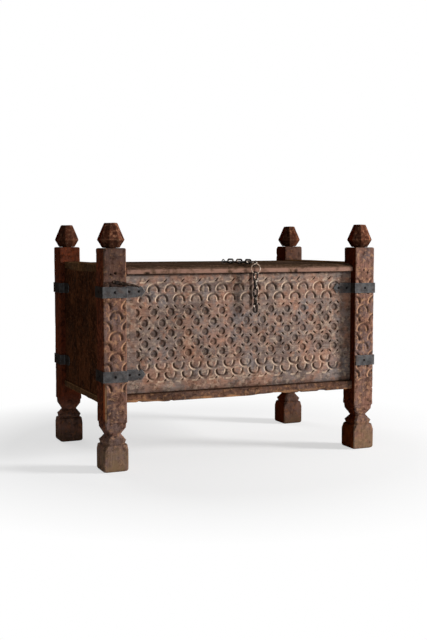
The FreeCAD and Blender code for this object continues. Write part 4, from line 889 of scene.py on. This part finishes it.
SHAPES = {"lid_board_front": hand_worn_lid, "front_bottom_rail": ragged_rail}
board_seed = 200
for names, slot, finish, grain, soft, wear in BOARDS:
    for node_name in names:
        low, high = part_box(node_name)
        piece = worn_board(
            "worn_" + node_name, low, high, grain, soft * MM, wear * MM, board_seed, finish,
            (4 if node_name in SHAPES else 8) * MM, SHAPES.get(node_name))
        stand_in(piece, node_name, "lid" if node_name.startswith("lid") else "chest")
        board_seed += 7

# Pieces that keep their CAD shape
CAD_FINISHES = (
    (inner_cross_wood, ("floor_board_1", "floor_board_2", "floor_board_3", "floor_board_4",
                        "lid_batten_left", "lid_batten_right")),
    (inner_wood, ("lid_batten_pegs",)), (lid_wood, ("lid_stile_back",)), (nail_iron, ("toggle_nail",)))
for finish, names in CAD_FINISHES:
    for node_name in names:
        for material_slot in nodes[node_name].material_slots:
            material_slot.material = finish

# ---------------- straps, toggle, eye, ring and staple

for corner_name in ("front_left", "front_right", "back_left", "back_right"):
    for number, row in enumerate(("upper", "lower")):
        node_name = "strap_%s_%s" % (corner_name, row)
        strap = forged_copy(
            "forged_" + node_name, node_name, 1.4 * MM, 1, 0.5 * MM, 0.012, 300 + 3 * len(node_name) + number,
            strap_iron)
        stand_in(strap, node_name, "chest")

# Piece, node, body, slot, voxel in millimetres, smoothing, dents and their size in millimetres, seed and finish
SMALL_PIECES = (
    ("whittled_toggle", "toggle", "toggle", "toggle_wood", 1.0, 2, 0.8, 9, 401, toggle_wood),
    ("forged_chain_ring", "chain_ring", "ring", "chain_iron", 0.8, 3, 0.3, 6, 402, highlit_ring_iron),
    ("forged_lid_eye", "lid_eye", "lid", "chain_iron", 0.8, 3, 0.3, 6, 403, chain_iron),
    ("forged_lid_staple", "lid_staple", "lid", "chain_iron", 0.8, 3, 0.3, 6, 404, chain_iron))
for name, node_name, body, slot, voxel, soften, dents, dent_size, seed, finish in SMALL_PIECES:
    piece = forged_copy(name, node_name, voxel * MM, soften, dents * MM, dent_size * MM, seed, finish)
    stand_in(piece, node_name, body)


# ---------------- chain links and nails by Geometry Nodes

def geometry_tree(name, inputs):
    """Empty Geometry Nodes tree with named inputs: (tree, its input sockets, its output node)."""
    return node_group(
        name, "GeometryNodeTree", (("Geometry", "Geometry"), *inputs, ("Material", "Material")),
        (("Geometry", "Geometry"),))


def point_turn(tree):
    """Rotation that each point's turn attribute holds."""
    turn = add(tree, "GeometryNodeInputNamedAttribute", {"Name": "turn"}, data_type="FLOAT_VECTOR")
    return add(tree, "FunctionNodeEulerToRotation", {0: turn})


def close_tree(tree, instances, material, result):
    """Realize the instances, give them their material and send them out."""
    solid = add(tree, "GeometryNodeRealizeInstances", {"Geometry": instances})
    smooth = add(tree, "GeometryNodeSetShadeSmooth", {"Geometry": solid})
    finished = add(tree, "GeometryNodeSetMaterial", {"Geometry": smooth, "Material": material})
    tree.links.new(finished.outputs[0], result.inputs[0])


def link_tree():
    """A forged link on every point, turned as the point's turn attribute says."""
    tree, given, result = geometry_tree("chain_links", (("Length", "Float"), ("Width", "Float"), ("Wire", "Float")))
    long_side, short_side = (combine(tree, "SUBTRACT", given[side], given["Wire"]) for side in ("Length", "Width"))
    bend = times(tree, short_side, 0.499)
    outline = add(tree, "GeometryNodeCurvePrimitiveQuadrilateral", {"Width": long_side, "Height": short_side})
    stadium = add(
        tree, "GeometryNodeFilletCurve", {"Curve": outline, "Radius": bend, "Limit Radius": True, "Count": 7},
        mode="POLY")
    half_wire = times(tree, given["Wire"], 0.5)
    section = add(tree, "GeometryNodeCurvePrimitiveCircle", {"Resolution": 10, "Radius": half_wire})
    link = add(tree, "GeometryNodeCurveToMesh", {"Curve": stadium, "Profile Curve": section})
    links = add(
        tree, "GeometryNodeInstanceOnPoints",
        {"Points": given["Geometry"], "Instance": link, "Rotation": point_turn(tree)})
    close_tree(tree, links, given["Material"], result)
    return tree


def nail_tree():
    """A hammered square head on every point, turned and sized a little at random."""
    tree, given, result = geometry_tree(
        "nail_heads", (("Head", "Float"), ("Crown", "Float"), ("Height", "Float"), ("Seed", "Int")))
    head = add(
        tree, "GeometryNodeMeshCone",
        {"Vertices": 6, "Side Segments": 2, "Radius Top": given["Crown"], "Radius Bottom": given["Head"],
         "Depth": given["Height"]})
    twist, size = (
        add(tree, "FunctionNodeRandomValue", {"Min": low, "Max": high, "Seed": given["Seed"]}, data_type="FLOAT")
        .outputs[1] for low, high in ((0.0, 2 * math.pi), (0.78, 1.0)))
    spin = add(tree, "ShaderNodeCombineXYZ", {"Z": twist})
    spun = add(tree, "FunctionNodeEulerToRotation", {0: spin})
    turned = add(
        tree, "FunctionNodeRotateRotation", {"Rotation": point_turn(tree), "Rotate By": spun}, rotation_space="LOCAL")
    heads = add(
        tree, "GeometryNodeInstanceOnPoints",
        {"Points": given["Geometry"], "Instance": head, "Rotation": turned, "Scale": size})
    close_tree(tree, heads, given["Material"], result)
    return tree


def grown(name, tree, places, turns, values):
    """Plain mesh object that a tree grows from placed and turned points."""
    mesh = bpy.data.meshes.new(name)
    mesh.from_pydata([tuple(p) for p in places], [], [])
    mesh.attributes.new("turn", "FLOAT_VECTOR", "POINT").data.foreach_set("vector", np.asarray(turns, float).ravel())
    piece = in_scene(name, mesh)
    growth = piece.modifiers.new("growth", "NODES")
    growth.node_group = tree
    sockets = {s.name: s.identifier for s in tree.interface.items_tree if s.in_out == "INPUT"}
    for socket, given in values.items():
        growth[sockets[socket]] = given
    settle(piece)
    return piece


QUARTER = math.radians(90)
LINK = {"Length": 40 * MM, "Width": 20 * MM, "Wire": 6.6 * MM, "Material": chain_iron}
LINK_PITCH = 28.6 * MM
HANGING_Y, HANGING_TOP, HANGING_LINKS = -0.336, 0.6829, 5
LYING_START, LYING_FIRST, LYING_LINKS, LYING_TURN = -0.3337, 16.75 * MM, 7, math.radians(10.7)
# Levels of the lying links' middles: lying flat and standing on edge
LINK_LEVELS = (0.7355, 0.7383)
link_grower = link_tree()
hanging_places = [(CHAIN_PLACE, HANGING_Y, HANGING_TOP - LINK_PITCH * number) for number in range(HANGING_LINKS)]
hanging_turns = [(QUARTER * ((number + 1) % 2), QUARTER, 0) for number in range(HANGING_LINKS)]
stand_in(
    grown("forged_chain_hanging", link_grower, hanging_places, hanging_turns, LINK),
    "chain_hanging", "chain")
lying_way = np.array((-math.sin(LYING_TURN), math.cos(LYING_TURN)))
lying_places, lying_turns = [], []
for number in range(LYING_LINKS):
    at = np.array((CHAIN_PLACE, LYING_START)) + lying_way * (LYING_FIRST + LINK_PITCH * number)
    upright = number % 2
    lying_places.append((at[0], at[1], LINK_LEVELS[upright]))
    lying_turns.append((QUARTER * upright, 0, QUARTER + LYING_TURN))
stand_in(
    grown("forged_chain_on_lid", link_grower, lying_places, lying_turns, LINK),
    "chain_on_lid", "lid")

# Sides along x and y, and the strap's lower edge and its reach along the panel, in millimetres
STRAPS = (
    (-1, -1, 616, 80), (-1, -1, 319, 80), (-1, 1, 607, 57), (-1, 1, 317, 57),
    (1, -1, 613, 80), (1, -1, 331, 0), (1, 1, 611, 57), (1, 1, 322, 57))
# Millimetres: post's middle and strap's face on it, start of the arm and strap's face on the board, along x and y
POST_X, POST_FACE_X, END_FACE_X, ARM_X = 507, 553.2, 532.2, 464
POST_Y, POST_FACE_Y, BOARD_FACE_Y, ARM_Y = 295, 341.2, 308.2, 252
STRAP_HALF_WIDTH, END_ARM = 20, 64
nail_places, nail_turns = [], []
for side_x, side_y, level, arm in STRAPS:
    facing_long, facing_end = (-QUARTER * side_y, 0, 0), (0, QUARTER * side_x, 0)
    spots = [(POST_X, POST_FACE_Y, facing_long), (POST_FACE_X, POST_Y, facing_end)]
    spots += [(END_FACE_X, ARM_Y - share * END_ARM, facing_end) for share in (0.3, 0.75)]
    spots += [(ARM_X - share * arm, BOARD_FACE_Y, facing_long) for share in (0.25, 0.7) if arm]
    for x, y, turn in spots:
        nail_places.append((side_x * x * MM, side_y * y * MM, (level + STRAP_HALF_WIDTH) * MM))
        nail_turns.append(turn)
stand_in(
    grown(
        "forged_strap_nails", nail_tree(), nail_places, nail_turns,
        {"Head": 5.6 * MM, "Crown": 2.6 * MM, "Height": 2.0 * MM, "Seed": 5, "Material": nail_iron}),
    "strap_nails", "chest")
